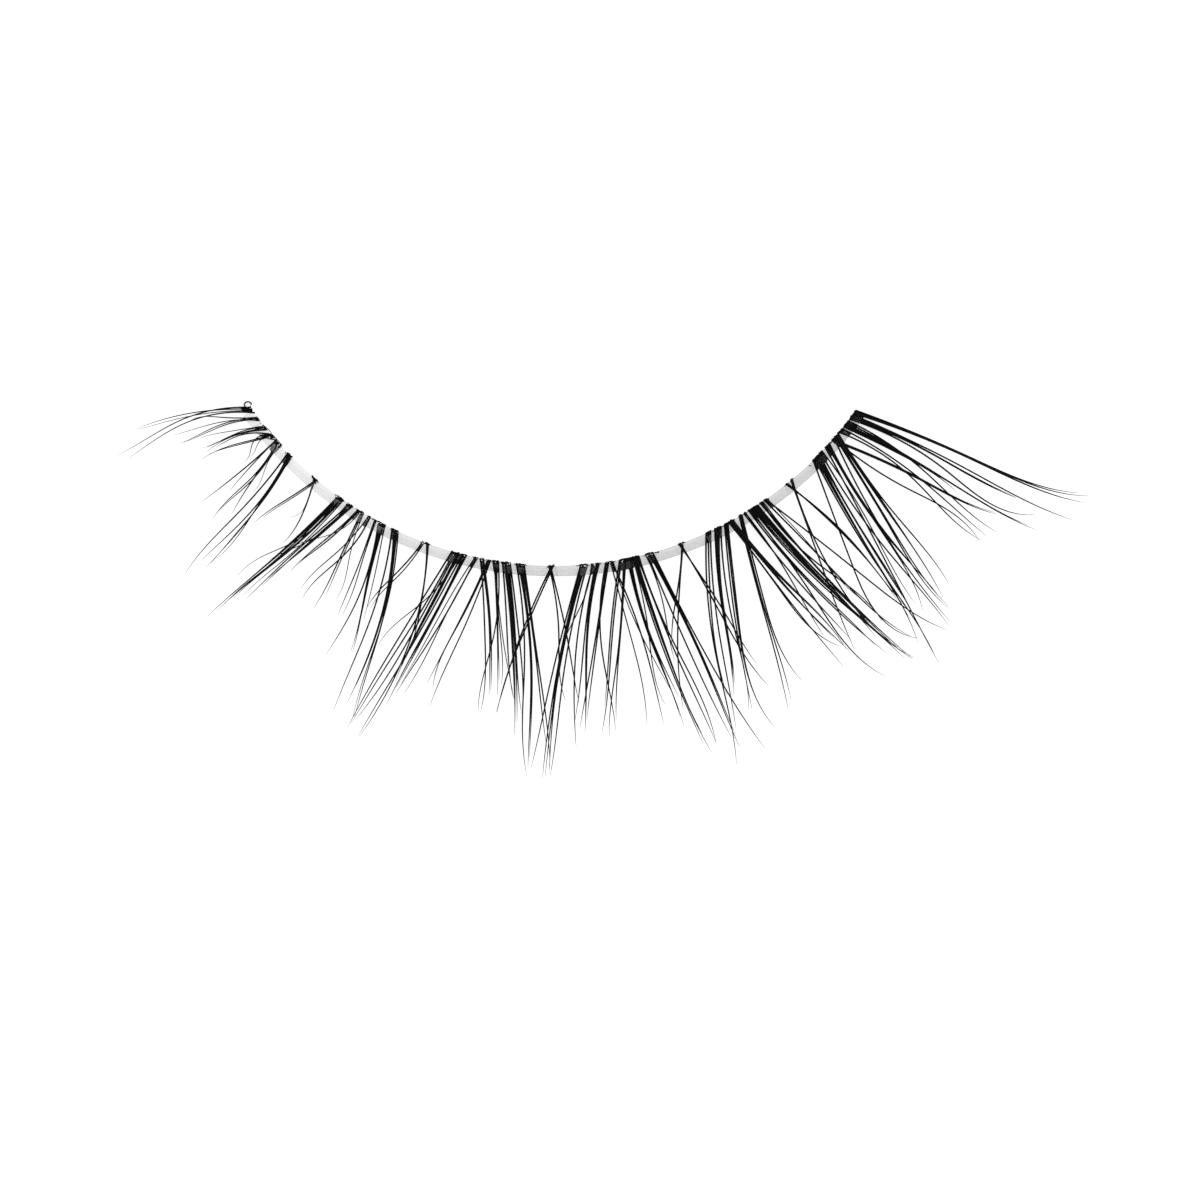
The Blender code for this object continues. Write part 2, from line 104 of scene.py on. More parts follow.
TUFTS = [
    #     name          place  width layer  strands: aim, turn, flick, reach, fibres, tips, weight
    Tuft("lash_tuft_01", 0.000, 0.39, 1, [
        (-93.4, 56, -29, 0.588, 1, 0.00, 0.85), (-92.8, 26, -4, 0.482, 1, 0.00, 0.8),
        (-93, 29, -14, 0.48, 1, 0.00, 0.6), (-95.6, 56, -17, 0.56, 1, 0.00, 0.85)]),
    Tuft("lash_tuft_02", 0.016, 0.29, 0, [
        (-84.4, -24, 64, 0.287, 1, 0.00, 0.8), (-92.1, 48, -28, 0.341, 2, 0.15, 0.75),
        (-98.8, 44, -21, 0.362, 1, 0.00, 0.6)]),
    Tuft("lash_tuft_03", 0.032, 0.29, 2, [
        (-82.8, 1, 17, 0.27, 1, 0.00, 0.6), (-88.6, 42, -21, 0.274, 2, 0.15, 0.75),
        (-87.5, 33, 0, 0.269, 1, 0.00, 0.7)]),
    Tuft("lash_tuft_04", 0.049, 0.44, 1, [
        (-101.1, 49, -6, 0.241, 1, 0.00, 0.9), (-79, 10, 8, 0.308, 2, 0.15, 0.75),
        (-129.8, 193, -129, 0.187, 1, 0.00, 0.8), (-127.3, 186, -129, 0.148, 1, 0.00, 0.6),
        (-46.7, -6, -2, 0.389, 1, 0.00, 1)]),
    Tuft("lash_tuft_05", 0.059, 0.44, 0, [
        (-42.4, -2, 2, 0.281, 1, 0.00, 0.8), (-26, -40, 35, 0.418, 2, 0.15, 0.85),
        (-39.5, 12, -4, 0.347, 1, 0.00, 1), (-48.9, 53, -50, 0.22, 1, 0.00, 0.5)]),
    Tuft("lash_tuft_06", 0.083, 0.34, 1, [
        (-34.9, -19, 22, 0.651, 1, 0.00, 1), (-24.7, -34, 11, 0.571, 1, 0.00, 1),
        (-28.2, -19, 5, 0.575, 2, 0.15, 0.9), (-35.7, 5, -23, 0.523, 1, 0.00, 0.8)]),
    Tuft("cross_pair_1", 0.133, 0.29, 0, [
        (-10, -30, -2, 0.3, 1, 0.00, 1), (-14.8, -17, -62, 0.197, 1, 0.00, 0.4),
        (-53, -11, 17, 0.312, 1, 0.00, 0.9), (-50.9, -17, 20, 0.273, 1, 0.00, 0.7)]),
    Tuft("lash_tuft_07", 0.177, 0.44, 1, [
        (-24.3, -75, 62, 0.534, 1, 0.00, 0.7), (-43.7, -10, 9, 0.724, 3, 0.29, 1),
        (-41.1, -20, 20, 0.639, 2, 0.15, 0.9), (-39.7, -18, 16, 0.565, 1, 0.00, 0.7)]),
    Tuft("lash_tuft_08", 0.194, 0.34, 2, [
        (-31.3, -52, 21, 0.401, 1, 0.00, 0.7), (-49.2, 3, -1, 0.572, 1, 0.00, 1),
        (-48.2, -2, 4, 0.49, 2, 0.11, 1)]),
    Tuft("lash_tuft_09", 0.212, 0.39, 0, [
        (-43.1, -16, 17, 0.373, 2, 0.11, 1), (-33, -80, 72, 0.347, 1, 0.00, 0.5),
        (-24.3, -3, -5, 0.441, 1, 0.00, 1), (-23.1, -4, 4, 0.37, 1, 0.00, 0.8),
        (-23.1, 21, -35, 0.371, 1, 0.00, 0.6)]),
    Tuft("lash_tuft_10", 0.231, 0.49, 3, [
        (-35.9, -22, 23, 0.406, 1, 0.00, 0.8), (-22.6, -51, 49, 0.44, 1, 0.00, 1),
        (-20.3, 0, -5, 0.421, 1, 0.00, 0.9), (-19.9, 4, -10, 0.409, 1, 0.00, 0.8)]),
    Tuft("lash_tuft_11", 0.246, 0.44, 1, [
        (-6.5, -32, 7, 0.592, 1, 0.00, 1), (-14.2, 6, -11, 0.54, 2, 0.11, 1),
        (-15.4, 3, 3, 0.458, 1, 0.00, 1), (-12.7, 3, -8, 0.398, 1, 0.00, 0.7)]),
    Tuft("lash_tuft_12", 0.267, 0.39, 2, [
        (-6.6, -27, 12, 0.782, 1, 0.00, 1), (-0.8, -31, 4, 0.747, 2, 0.11, 1),
        (-4.1, -20, 8, 0.784, 1, 0.00, 1), (-2.9, -28, 18, 0.781, 1, 0.00, 0.8)]),
    Tuft("cross_pair_2", 0.314, 0.34, 3, [
        (-36, -16, 23, 0.353, 1, 0.00, 1), (-31.9, -23, 29, 0.347, 1, 0.00, 0.8),
        (0.1, -41, 6, 0.849, 1, 0.00, 1), (-2.5, -16, -4, 0.479, 1, 0.00, 0.9)]),
    Tuft("lash_tuft_13", 0.359, 0.44, 0, [
        (-31.7, 0, 5, 0.84, 1, 0.00, 1), (-27.6, -9, 5, 0.814, 1, 0.00, 1),
        (-28, -3, -8, 0.802, 1, 0.00, 1), (-27.9, 1, 5, 0.582, 2, 0.11, 1)]),
    Tuft("lash_tuft_14", 0.371, 0.34, 2, [
        (-29.4, -38, 39, 0.509, 1, 0.00, 0.7), (-28.4, -3, 1, 0.855, 1, 0.00, 1),
        (-24.5, -9, 7, 0.694, 2, 0.11, 1), (-26.7, -5, 6, 0.479, 1, 0.00, 0.8)]),
    Tuft("lash_tuft_15", 0.393, 0.46, 1, [
        (-33.7, 9, -5, 0.596, 1, 0.00, 0.7), (-27.1, -7, 0, 0.647, 1, 0.00, 1),
        (-30.8, 8, -9, 0.632, 1, 0.00, 0.8), (5.6, -8, -11, 0.631, 1, 0.00, 1),
        (9.1, -11, 0, 0.56, 2, 0.11, 1)]),
    Tuft("lash_tuft_16", 0.413, 0.59, 2, [
        (-22.1, -10, 4, 0.566, 1, 0.00, 0.8), (-22.6, -11, 29, 0.578, 1, 0.00, 1),
        (-17.7, -15, 15, 0.646, 1, 0.00, 0.9), (7.6, 0, 5, 0.571, 1, 0.00, 0.7),
        (2.8, -1, -6, 0.551, 2, 0.11, 0.8), (-0.3, 10, -18, 0.506, 1, 0.00, 0.8),
        (4.4, -33, 29, 0.623, 1, 0.00, 0.9)]),
    Tuft("lash_tuft_17", 0.432, 0.44, 0, [
        (4.8, -3, 7, 0.557, 1, 0.00, 1), (7.6, -9, -3, 0.708, 3, 0.44, 1),
        (7.4, -7, 7, 0.616, 1, 0.00, 1), (8.7, -7, -4, 0.632, 1, 0.00, 1)]),
    Tuft("lash_tuft_18", 0.452, 0.44, 1, [
        (9.6, -21, 21, 0.87, 1, 0.00, 1), (11.8, -21, 9, 0.841, 2, 0.11, 1),
        (10.7, -9, 9, 0.752, 1, 0.00, 1), (8.4, 0, -8, 0.835, 1, 0.00, 1)]),
    Tuft("cross_pair_3", 0.496, 0.29, 3, [
        (14.1, -24, 32, 0.559, 1, 0.00, 1), (15, -8, 7, 0.573, 1, 0.00, 1),
        (-28.1, 17, -9, 0.647, 1, 0.00, 1), (-24.8, 5, 9, 0.645, 1, 0.00, 1)]),
    Tuft("lash_tuft_19", 0.543, 0.39, 0, [
        (-16, 5, -3, 0.853, 1, 0.00, 1), (-16.9, 13, 0, 0.89, 2, 0.10, 1),
        (-18.4, 17, -3, 0.866, 1, 0.15, 1), (-16.5, 17, -13, 0.882, 1, 0.00, 1)]),
    Tuft("lash_tuft_20", 0.559, 0.44, 1, [
        (-5.6, -34, 19, 0.351, 1, 0.00, 0.8), (-17.7, 25, -2, 0.761, 1, 0.00, 1),
        (-11.8, 12, -9, 0.65, 1, 0.00, 1), (-14.1, 23, -11, 0.7, 2, 0.11, 1)]),
    Tuft("lash_tuft_21", 0.579, 0.39, 2, [
        (-12.7, 39, -23, 0.694, 1, 0.00, 1), (-8.7, -2, 3, 0.69, 1, 0.00, 1),
        (-10.1, 5, 0, 0.649, 1, 0.00, 1), (16.2, -4, -8, 0.688, 1, 0.00, 0.8),
        (25.9, -17, 4, 0.699, 1, 0.00, 1), (17, 16, -6, 0.593, 1, 0.00, 0.7)]),
    Tuft("lash_tuft_22", 0.603, 0.69, 0, [
        (-9.9, 9, -4, 0.601, 1, 0.00, 1), (-9.3, 9, -10, 0.716, 1, 0.00, 1),
        (-0.6, -12, 13, 0.727, 1, 0.00, 1), (-2.4, -5, 8, 0.665, 1, 0.00, 1),
        (11.1, 20, -17, 0.721, 2, 0.11, 1), (8.7, 22, -5, 0.604, 1, 0.00, 1),
        (17.9, -23, 38, 0.618, 1, 0.00, 0.8)]),
    Tuft("lash_tuft_23", 0.617, 0.34, 3, [
        (16, 10, -4, 0.818, 1, 0.00, 1), (17, 6, 10, 0.861, 2, 0.11, 1), (20.5, 5, -1, 0.829, 1, 0.00, 1),
        (18, 17, -23, 0.833, 1, 0.00, 1)]),
    Tuft("lash_tuft_24", 0.636, 0.44, 1, [
        (28.4, -35, 26, 0.452, 1, 0.00, 0.8), (23.2, 1, 5, 0.826, 1, 0.00, 1),
        (29.1, -9, 4, 0.879, 1, 0.11, 1), (28.4, -7, 2, 0.821, 1, 0.00, 1),
        (26.8, 3, 10, 0.925, 1, 0.00, 1)]),
    Tuft("cross_pair_4", 0.684, 0.29, 2, [
        (35.6, -8, 10, 0.582, 1, 0.00, 1), (31.1, -4, 15, 0.689, 1, 0.00, 1),
        (-1, -17, 22, 0.429, 1, 0.00, 1), (-5.2, 7, 9, 0.682, 1, 0.00, 1)]),
    Tuft("lash_tuft_25", 0.726, 0.29, 0, [
        (-2.1, 25, -19, 0.957, 1, 0.00, 1), (-0.6, 12, 5, 0.673, 1, 0.11, 1),
        (0.1, 18, -9, 0.815, 1, 0.00, 1)]),
    Tuft("lash_tuft_26", 0.741, 0.39, 1, [
        (1.6, 15, -18, 0.694, 2, 0.11, 1), (-1, 16, -9, 0.62, 2, 0.11, 1),
        (0.7, 25, -28, 0.76, 1, 0.00, 1)]),
    Tuft("lash_tuft_27", 0.754, 0.24, 2, [
        (4.7, 7, 0, 0.77, 1, 0.00, 1), (5.7, 5, 31, 0.873, 1, 0.00, 1), (6.1, 0, 17, 0.701, 1, 0.00, 1)]),
    Tuft("lash_tuft_28", 0.761, 0.29, 3, [
        (39.2, -7, 38, 0.692, 1, 0.00, 1), (36.9, 2, 0, 0.752, 1, 0.00, 0.9),
        (38.4, 7, 2, 0.723, 2, 0.11, 1), (36.4, 18, -23, 0.705, 2, 0.11, 1)]),
    Tuft("lash_tuft_29", 0.780, 0.39, 1, [
        (12.6, 6, -7, 0.816, 1, 0.00, 1), (12.9, 7, -8, 0.778, 1, 0.00, 1),
        (13.8, 4, 24, 0.727, 1, 0.00, 1), (36.5, 9, -4, 0.675, 1, 0.00, 1),
        (39.2, -18, 13, 0.598, 1, 0.00, 0.9)]),
    Tuft("lash_tuft_30", 0.798, 0.59, 2, [
        (35.6, 18, -2, 0.812, 1, 0.00, 1), (39.1, -12, 38, 0.882, 1, 0.00, 1),
        (33.7, 21, -11, 0.753, 1, 0.15, 1), (38, 19, -12, 0.874, 2, 0.20, 1),
        (40.3, 9, 9, 0.903, 2, 0.11, 1), (39.8, 9, -11, 0.728, 1, 0.00, 1),
        (38.8, 12, -12, 0.685, 1, 0.00, 0.9)]),
    Tuft("lash_tuft_31", 0.812, 0.20, 0, [
        (39.9, 7, 0, 0.823, 1, 0.00, 1), (32.5, 41, -45, 0.701, 1, 0.00, 1),
        (37.1, 13, 2, 0.886, 1, 0.00, 1)]),
    Tuft("lash_tuft_32", 0.819, 0.20, 3, [
        (44.6, -1, 19, 0.818, 1, 0.00, 1), (53.5, -6, 24, 0.919, 1, 0.00, 1),
        (44.9, -9, 23, 0.596, 1, 0.00, 0.6)]),
    Tuft("cross_pair_5", 0.861, 0.46, 1, [
        (55.2, -25, 10, 0.707, 1, 0.00, 1), (50.9, -14, -4, 0.661, 1, 0.00, 1),
        (18.9, 3, 2, 0.739, 1, 0.00, 1), (15.7, 32, 17, 0.906, 1, 0.00, 1)]),
    Tuft("lash_tuft_33", 0.916, 0.69, 0, [
        (20, 1, 68, 0.894, 1, 0.00, 1), (27.2, 13, -14, 0.928, 1, 0.00, 1),
        (27.5, 10, -21, 0.865, 1, 0.20, 1), (27.4, 7, -2, 0.769, 2, 0.39, 1),
        (26.4, 11, -9, 0.755, 1, 0.24, 1), (28.3, 21, -12, 0.881, 1, 0.00, 1),
        (37.6, -18, 16, 0.731, 1, 0.00, 0.8)]),
    Tuft("lash_tuft_34", 0.936, 0.34, 2, [
        (28.2, -1, 1, 1, 1, 0.00, 1), (31.7, 4, -22, 0.779, 1, 0.00, 1),
        (25.9, 22, -7, 0.759, 2, 0.11, 1)]),
    Tuft("lash_tuft_35", 0.952, 0.54, 1, [
        (69.7, -15, 23, 0.736, 2, 0.12, 1), (50.3, 23, -40, 0.732, 1, 0.00, 1),
        (24, 16, 0, 0.89, 1, 0.00, 1), (32.3, -4, 21, 0.843, 2, 0.11, 1),
        (33.5, 2, -6, 0.795, 2, 0.11, 1), (31.1, 16, -18, 0.766, 1, 0.00, 1)]),
    Tuft("lash_tuft_36", 0.964, 0.29, 3, [
        (68.7, -44, 37, 0.736, 1, 0.00, 1), (64.4, -27, 14, 0.738, 1, 0.00, 1)]),
    Tuft("lash_tuft_37", 0.976, 0.44, 2, [
        (65.2, -6, -11, 0.534, 1, 0.00, 1), (64.7, -13, 19, 0.894, 2, 0.11, 1),
        (63.9, -10, 1, 0.553, 1, 0.00, 1), (65, -33, 28, 0.763, 1, 0.05, 1)]),
    Tuft("lash_tuft_38", 0.992, 0.59, 0, [
        (72.5, -41, 67, 0.867, 1, 0.05, 1.1), (69.3, -15, 12, 0.754, 2, 0.11, 1),
        (67.5, -12, 18, 0.998, 1, 0.00, 1), (72.8, -16, 23, 1.012, 1, 0.05, 1.15),
        (70.4, -10, 29, 1.021, 2, 0.11, 1)]),
]
for row, tuft in enumerate(TUFTS):
    strands = [Strand(*strand) for strand in tuft.strands]
    TUFTS[row] = tuft._replace(width=tuft.width * MM, strands=strands)
fibre_total = sum(strand.fibres for tuft in TUFTS for strand in tuft.strands)
strand_total = sum(len(tuft.strands) for tuft in TUFTS)
print("tufts:", len(TUFTS), "strands:", strand_total, "fibres:", fibre_total)

# %% [markdown]
# A strand's middle line follows a rule: it leaves the band at its own aim, turns, flicks out near
# the tip, and curls up more steeply the further it gets.
# The solids follow the same curl and the same layers, so each strand stays where its solid is.

# %% The rule of a strand's middle line
LASH_REACH = 12.0 * MM
LASH_CURL = math.radians(50.0)
FIBRE_THICKNESS = 0.085 * MM
KNOT_WALL = 0.035 * MM
SEAT_GAP = 0.02 * MM
LAYER_STEP = 0.13 * MM
LAYER_RAMP = 0.9 * MM
ROOT_OVERHANG = 0.05 * MM            # the cut ends pass the band's inner edge by this much
ROOT_SPACING = 0.066 * MM            # between fibres that lie side by side in a root block
GUIDE_STEPS = 24
INNER_EDGE = BAND_RADIUS - BAND_WIDTH / 2
BLOCK_BASE = BAND_THICKNESS + SEAT_GAP


def smooth(share):
    """Eases from 0 to 1."""
    share = min(max(share, 0.0), 1.0)
    return share * share * (3.0 - 2.0 * share)


def arc_point(share, radius):
    """A point at a share of the band's arc, at a radius from the arc's centre."""
    angle = (share - 0.5) * BAND_SPREAD
    return ARC_CENTRE + radius * Vector((math.sin(angle), -math.cos(angle), 0.0))


def fibre_count(strands):
    return sum(strand.fibres for strand in strands)


def packed_radius(fibres):
    """Half the height of a root block: its fibres, packed together, and the glue round them."""
    return FIBRE_THICKNESS / 2 * math.sqrt(fibres) + KNOT_WALL


def knot_radius(tuft):
    return packed_radius(fibre_count(tuft.strands))


def root_spacing(tuft):
    """The distance between neighbouring fibres in a root block, less where they are crowded."""
    return min(ROOT_SPACING, tuft.width / fibre_count(tuft.strands))


# How many strands are in the first of two root blocks, where a tuft's strands part in two ways
TWO_BLOCKS = {
    "cross_pair_1": 2, "cross_pair_2": 2, "cross_pair_3": 2, "cross_pair_4": 2, "cross_pair_5": 2,
    "lash_tuft_04": 2, "lash_tuft_09": 2, "lash_tuft_10": 2, "lash_tuft_15": 3, "lash_tuft_16": 3,
    "lash_tuft_21": 3, "lash_tuft_29": 3,
}


def root_shares(tuft):
    """Where along the band each strand of a tuft is rooted, side by side in the chart's order.
    Between two blocks lies all the spare width, else it is shared out between the strands."""
    spacing = root_spacing(tuft)
    spare = tuft.width - spacing * fibre_count(tuft.strands)
    first_block = TWO_BLOCKS.get(tuft.name, 0)
    edge = -tuft.width / 2
    shares = []
    for number, strand in enumerate(tuft.strands):
        shares.append(tuft.place + (edge + strand.fibres * spacing / 2) / BAND_LENGTH)
        edge += strand.fibres * spacing
        if first_block:
            edge += spare if number + 1 == first_block else 0.0
        else:
            edge += spare / (len(tuft.strands) - 1)
    return shares


def strand_line(tuft, strand, root_share):
    """The points of a strand's middle line, from its cut end to its tip."""
    point = arc_point(root_share, INNER_EDGE - ROOT_OVERHANG)
    base = BLOCK_BASE + knot_radius(tuft)
    step = strand.reach * LASH_REACH / GUIDE_STEPS
    line = [Vector((point.x, point.y, base))]
    for number in range(GUIDE_STEPS):
        share = (number + 0.5) / GUIDE_STEPS
        travelled = share * strand.reach * LASH_REACH
        aim = strand.aim + strand.turn * share + strand.flick * max(0.0, 2.0 * share - 1.0) ** 2
        heading = math.radians(aim)
        base += math.tan(LASH_CURL * travelled / LASH_REACH) * step
        point += Vector((math.sin(heading), -math.cos(heading), 0.0)) * step
        layer = tuft.layer * LAYER_STEP * smooth((number + 1) * step / LAYER_RAMP)
        line.append(Vector((point.x, point.y, base + layer)))
    return line


longest = max(strand.reach for tuft in TUFTS for strand in tuft.strands) * LASH_REACH
print("longest lash in plan:", round(longest / MM, 2), "mm")

# %% [markdown]
# The fibres themselves are grown by Geometry Nodes. The middle lines come in as rows of edges that
# carry their numbers as attributes. The tree copies each line once for every fibre, moves the
# copies side by side, packed at the root and spread at the tip, roughens where they start and end,
# and sweeps a small round section along them that thins out to a hair-fine tip. Growing them this
# way keeps the chart short, and a change of one number reaches every fibre.

# %% Helpers for node trees
def add_node(tree, kind, settings=None, **values):
    """A node with its settings and the values of its inputs, named by their labels."""
    node = tree.nodes.new(kind)
    for key, value in (settings or {}).items():
        setattr(node, key, value)
    for label, value in values.items():
        set_input(tree, node, label.replace("_", " "), value)
    return node


def set_input(tree, node, label, value):
    """Sets or links the first free input that has this label, or this number."""
    if label.isdigit():
        socket = node.inputs[int(label)]
    else:
        socket = next(s for s in node.inputs if s.name == label and s.enabled and not s.is_linked)
    if isinstance(value, bpy.types.NodeSocket):
        tree.links.new(value, socket)
    else:
        socket.default_value = value


def calculate(tree, operation, *values):
    """The output of a Math node."""
    node = tree.nodes.new("ShaderNodeMath")
    node.operation = operation
    for socket, value in zip(node.inputs, values):
        if isinstance(value, bpy.types.NodeSocket):
            tree.links.new(value, socket)
        else:
            socket.default_value = value
    return node.outputs[0]


def calculate_vector(tree, operation, *values):
    """The output of a Vector Math node; a single number scales the vector."""
    node = tree.nodes.new("ShaderNodeVectorMath")
    node.operation = operation
    sockets = [node.inputs[0], node.inputs["Scale"]] if operation == "SCALE" else node.inputs
    for socket, value in zip(sockets, values):
        if isinstance(value, bpy.types.NodeSocket):
            tree.links.new(value, socket)
        else:
            socket.default_value = value
    return node.outputs["Value"] if operation in ("LENGTH", "DOT_PRODUCT") else node.outputs[0]


def new_tree(name, numbers):
    """A Geometry Nodes tree with a geometry input, a material and named numbers."""
    tree = bpy.data.node_groups.new(name, "GeometryNodeTree")
    tree.interface.new_socket("Geometry", in_out="INPUT", socket_type="NodeSocketGeometry")
    tree.interface.new_socket("Material", in_out="INPUT", socket_type="NodeSocketMaterial")
    for label, value in numbers.items():
        kind = "NodeSocketInt" if isinstance(value, int) else "NodeSocketFloat"
        socket = tree.interface.new_socket(label, in_out="INPUT", socket_type=kind)
        socket.default_value = value
    tree.interface.new_socket("Geometry", in_out="OUTPUT", socket_type="NodeSocketGeometry")
    return tree, tree.nodes.new("NodeGroupInput").outputs


def finish_tree(tree, geometry, material):
    """Ends a tree in Realize Instances and Set Material."""
    realized = add_node(tree, "GeometryNodeRealizeInstances", Geometry=geometry)
    dressed = add_node(tree, "GeometryNodeSetMaterial", Geometry=realized.outputs[0], Material=material)
    output = tree.nodes.new("NodeGroupOutput")
    tree.links.new(dressed.outputs[0], output.inputs[0])


def grown_mesh(name, source, tree, values):
    """The plain mesh that a tree makes from a source mesh."""
    holder = bpy.data.objects.new(name, source)
    bpy.context.scene.collection.objects.link(holder)
    modifier = holder.modifiers.new("grow", "NODES")
    modifier.node_group = tree
    for item in tree.interface.items_tree:
        if item.item_type == "SOCKET" and item.in_out == "INPUT" and item.name in values:
            modifier[item.identifier] = values[item.name]
    bpy.context.view_layer.update()
    evaluated = holder.evaluated_get(bpy.context.evaluated_depsgraph_get())
    mesh = bpy.data.meshes.new_from_object(evaluated)
    bpy.data.objects.remove(holder)
    mesh.name = name
    return mesh


def named(tree, attribute, kind="FLOAT"):
    """The output of a Named Attribute node."""
    node = tree.nodes.new("GeometryNodeInputNamedAttribute")
    node.data_type = kind
    node.inputs["Name"].default_value = attribute
    return next(socket for socket in node.outputs if socket.enabled)


def random_number(tree, low, high, identity, seed):
    """A random number between two others, one for each identity."""
    node = tree.nodes.new("FunctionNodeRandomValue")
    node.data_type = "FLOAT"
    for label, value in (("Min", low), ("Max", high), ("ID", identity), ("Seed", seed)):
        socket = next(s for s in node.inputs if s.name == label and s.enabled)
        if isinstance(value, bpy.types.NodeSocket):
            tree.links.new(value, socket)
        else:
            socket.default_value = value
    return next(socket for socket in node.outputs if socket.enabled)


# %% The tree that grows fibres
FIBRE_SIDES = 6


def fibre_tree():
    tree, given = new_tree("grow fibres", {
        "Fibre Radius": 0.040 * MM,
        "Tip Radius": 0.006 * MM,
        "Soaked Root": 0.28,
        "Ragged Root": 0.05 * MM,
        "Ragged Tip": 0.14,
        "Wave": 0.042 * MM,
        "Stack": 0.06 * MM,
        "Seed": 5,
    })
    lines = add_node(tree, "GeometryNodeMeshToCurve", Mesh=given["Geometry"]).outputs[0]
    copied = add_node(tree, "GeometryNodeDuplicateElements", {"domain": "SPLINE"},
                      Geometry=lines, Amount=named(tree, "fibres", "INT"))
    # Which copy this is, which fibre it is of all, and how far along it a point lies
    copy = add_node(tree, "GeometryNodeCaptureAttribute", {"domain": "CURVE"})
    copy.capture_items.new("INT", "copy")
    tree.links.new(copied.outputs["Geometry"], copy.inputs["Geometry"])
    tree.links.new(copied.outputs["Duplicate Index"], copy.inputs[1])
    index = add_node(tree, "GeometryNodeInputIndex").outputs[0]
    fibre = add_node(tree, "GeometryNodeCaptureAttribute", {"domain": "CURVE"})
    fibre.capture_items.new("INT", "fibre")
    tree.links.new(copy.outputs["Geometry"], fibre.inputs["Geometry"])
    tree.links.new(index, fibre.inputs[1])
    number = fibre.outputs[1]
    along = add_node(tree, "GeometryNodeSplineParameter").outputs["Factor"]

    # From -0.5 to 0.5 across the root, and another place across the tips
    count = named(tree, "fibres", "INT")
    middle = calculate(tree, "ADD", copy.outputs[1], 0.5)
    at_root = calculate(tree, "SUBTRACT", calculate(tree, "DIVIDE", middle, count), 0.5)
    stray = random_number(tree, -0.5, 0.5, number, given["Seed"])
    at_tip = calculate(tree, "ADD", calculate(tree, "MULTIPLY", at_root, 0.6),
                       calculate(tree, "MULTIPLY", stray, 0.6))
    root_offset = calculate(tree, "MULTIPLY", at_root, named(tree, "root_width"))
    tip_offset = calculate(tree, "MULTIPLY", at_tip, named(tree, "tip_width"))
    opening = calculate(tree, "POWER", along, 1.2)
    spread = calculate(tree, "ADD", root_offset, calculate(
        tree, "MULTIPLY", opening, calculate(tree, "SUBTRACT", tip_offset, root_offset)))

    # A slow wave of its own keeps the fibres of a strand from running like ruled lines
    phase = random_number(tree, 0.0, 6.28, number, calculate(tree, "ADD", given["Seed"], 1.0))
    beat = random_number(tree, 3.0, 7.0, number, calculate(tree, "ADD", given["Seed"], 2.0))
    swing = calculate(tree, "SINE", calculate(tree, "ADD", phase, calculate(tree, "MULTIPLY", beat, along)))
    wave = calculate(tree, "MULTIPLY", calculate(tree, "MULTIPLY", swing, along), given["Wave"])

    tangent = add_node(tree, "GeometryNodeInputTangent").outputs[0]
    sideways = calculate_vector(tree, "NORMALIZE", calculate_vector(
        tree, "CROSS_PRODUCT", (0.0, 0.0, 1.0), tangent))
    shift = calculate_vector(tree, "SCALE", sideways, calculate(tree, "ADD", spread, wave))
    lift = random_number(tree, -1.0, 1.0, number, calculate(tree, "ADD", given["Seed"], 3.0))
    stacked = calculate(tree, "MULTIPLY", lift, given["Stack"])
    rise = add_node(tree, "ShaderNodeCombineXYZ", Z=stacked).outputs[0]
    # Cut ends are never quite in line
    uneven = random_number(tree, -1.0, 1.0, number, calculate(tree, "ADD", given["Seed"], 4.0))
    near_root = calculate(tree, "POWER", calculate(tree, "SUBTRACT", 1.0, along), 12.0)
    uneven_root = calculate(tree, "MULTIPLY", uneven, near_root)
    pull = calculate(tree, "MULTIPLY", uneven_root, given["Ragged Root"])
    drawn = calculate_vector(tree, "SCALE", tangent, pull)
    offset = calculate_vector(tree, "ADD", calculate_vector(tree, "ADD", shift, rise), drawn)
    placed = add_node(tree, "GeometryNodeSetPosition",
                      Geometry=fibre.outputs["Geometry"], Offset=offset)

    # Some fibres of a strand stop short, but not its first
    tip_seed = calculate(tree, "ADD", given["Seed"], 5.0)
    short = random_number(tree, 0.0, given["Ragged Tip"], number, tip_seed)
    after_first = calculate(tree, "GREATER_THAN", copy.outputs[1], 0.5)
    end = calculate(tree, "SUBTRACT", 1.0, calculate(tree, "MULTIPLY", short, after_first))
    trimmed = add_node(tree, "GeometryNodeTrimCurve", {"mode": "FACTOR"}, Curve=placed.outputs[0])
    tree.links.new(end, next(s for s in trimmed.inputs if s.name == "End" and s.enabled))

    # Glue has crept up the roots and thickens them; the tips thin out, sooner at the inner corner
    soaked = calculate(tree, "MULTIPLY", given["Soaked Root"], near_root)
    fading = calculate(tree, "POWER", along, named(tree, "fade"))
    dry = calculate(tree, "MULTIPLY", named(tree, "weight"), given["Fibre Radius"])
    thick = calculate(tree, "MULTIPLY", dry, calculate(tree, "ADD", 1.0, soaked))
    radius = calculate(tree, "SUBTRACT", thick, calculate(
        tree, "MULTIPLY", fading, calculate(tree, "SUBTRACT", thick, given["Tip Radius"])))
    marked = add_node(tree, "GeometryNodeStoreNamedAttribute", {"data_type": "FLOAT", "domain": "POINT"},
                      Geometry=trimmed.outputs[0], Name="along")
    tree.links.new(along, next(s for s in marked.inputs if s.name == "Value" and s.enabled))
    section = add_node(tree, "GeometryNodeCurvePrimitiveCircle", Resolution=FIBRE_SIDES, Radius=1.0)
    swept = add_node(tree, "GeometryNodeCurveToMesh", Curve=marked.outputs[0],
                     Profile_Curve=section.outputs[0], Scale=radius, Fill_Caps=True)
    shaded = add_node(tree, "GeometryNodeSetShadeSmooth", Geometry=swept.outputs[0])
    finish_tree(tree, shaded.outputs[0], given["Material"])
    return tree


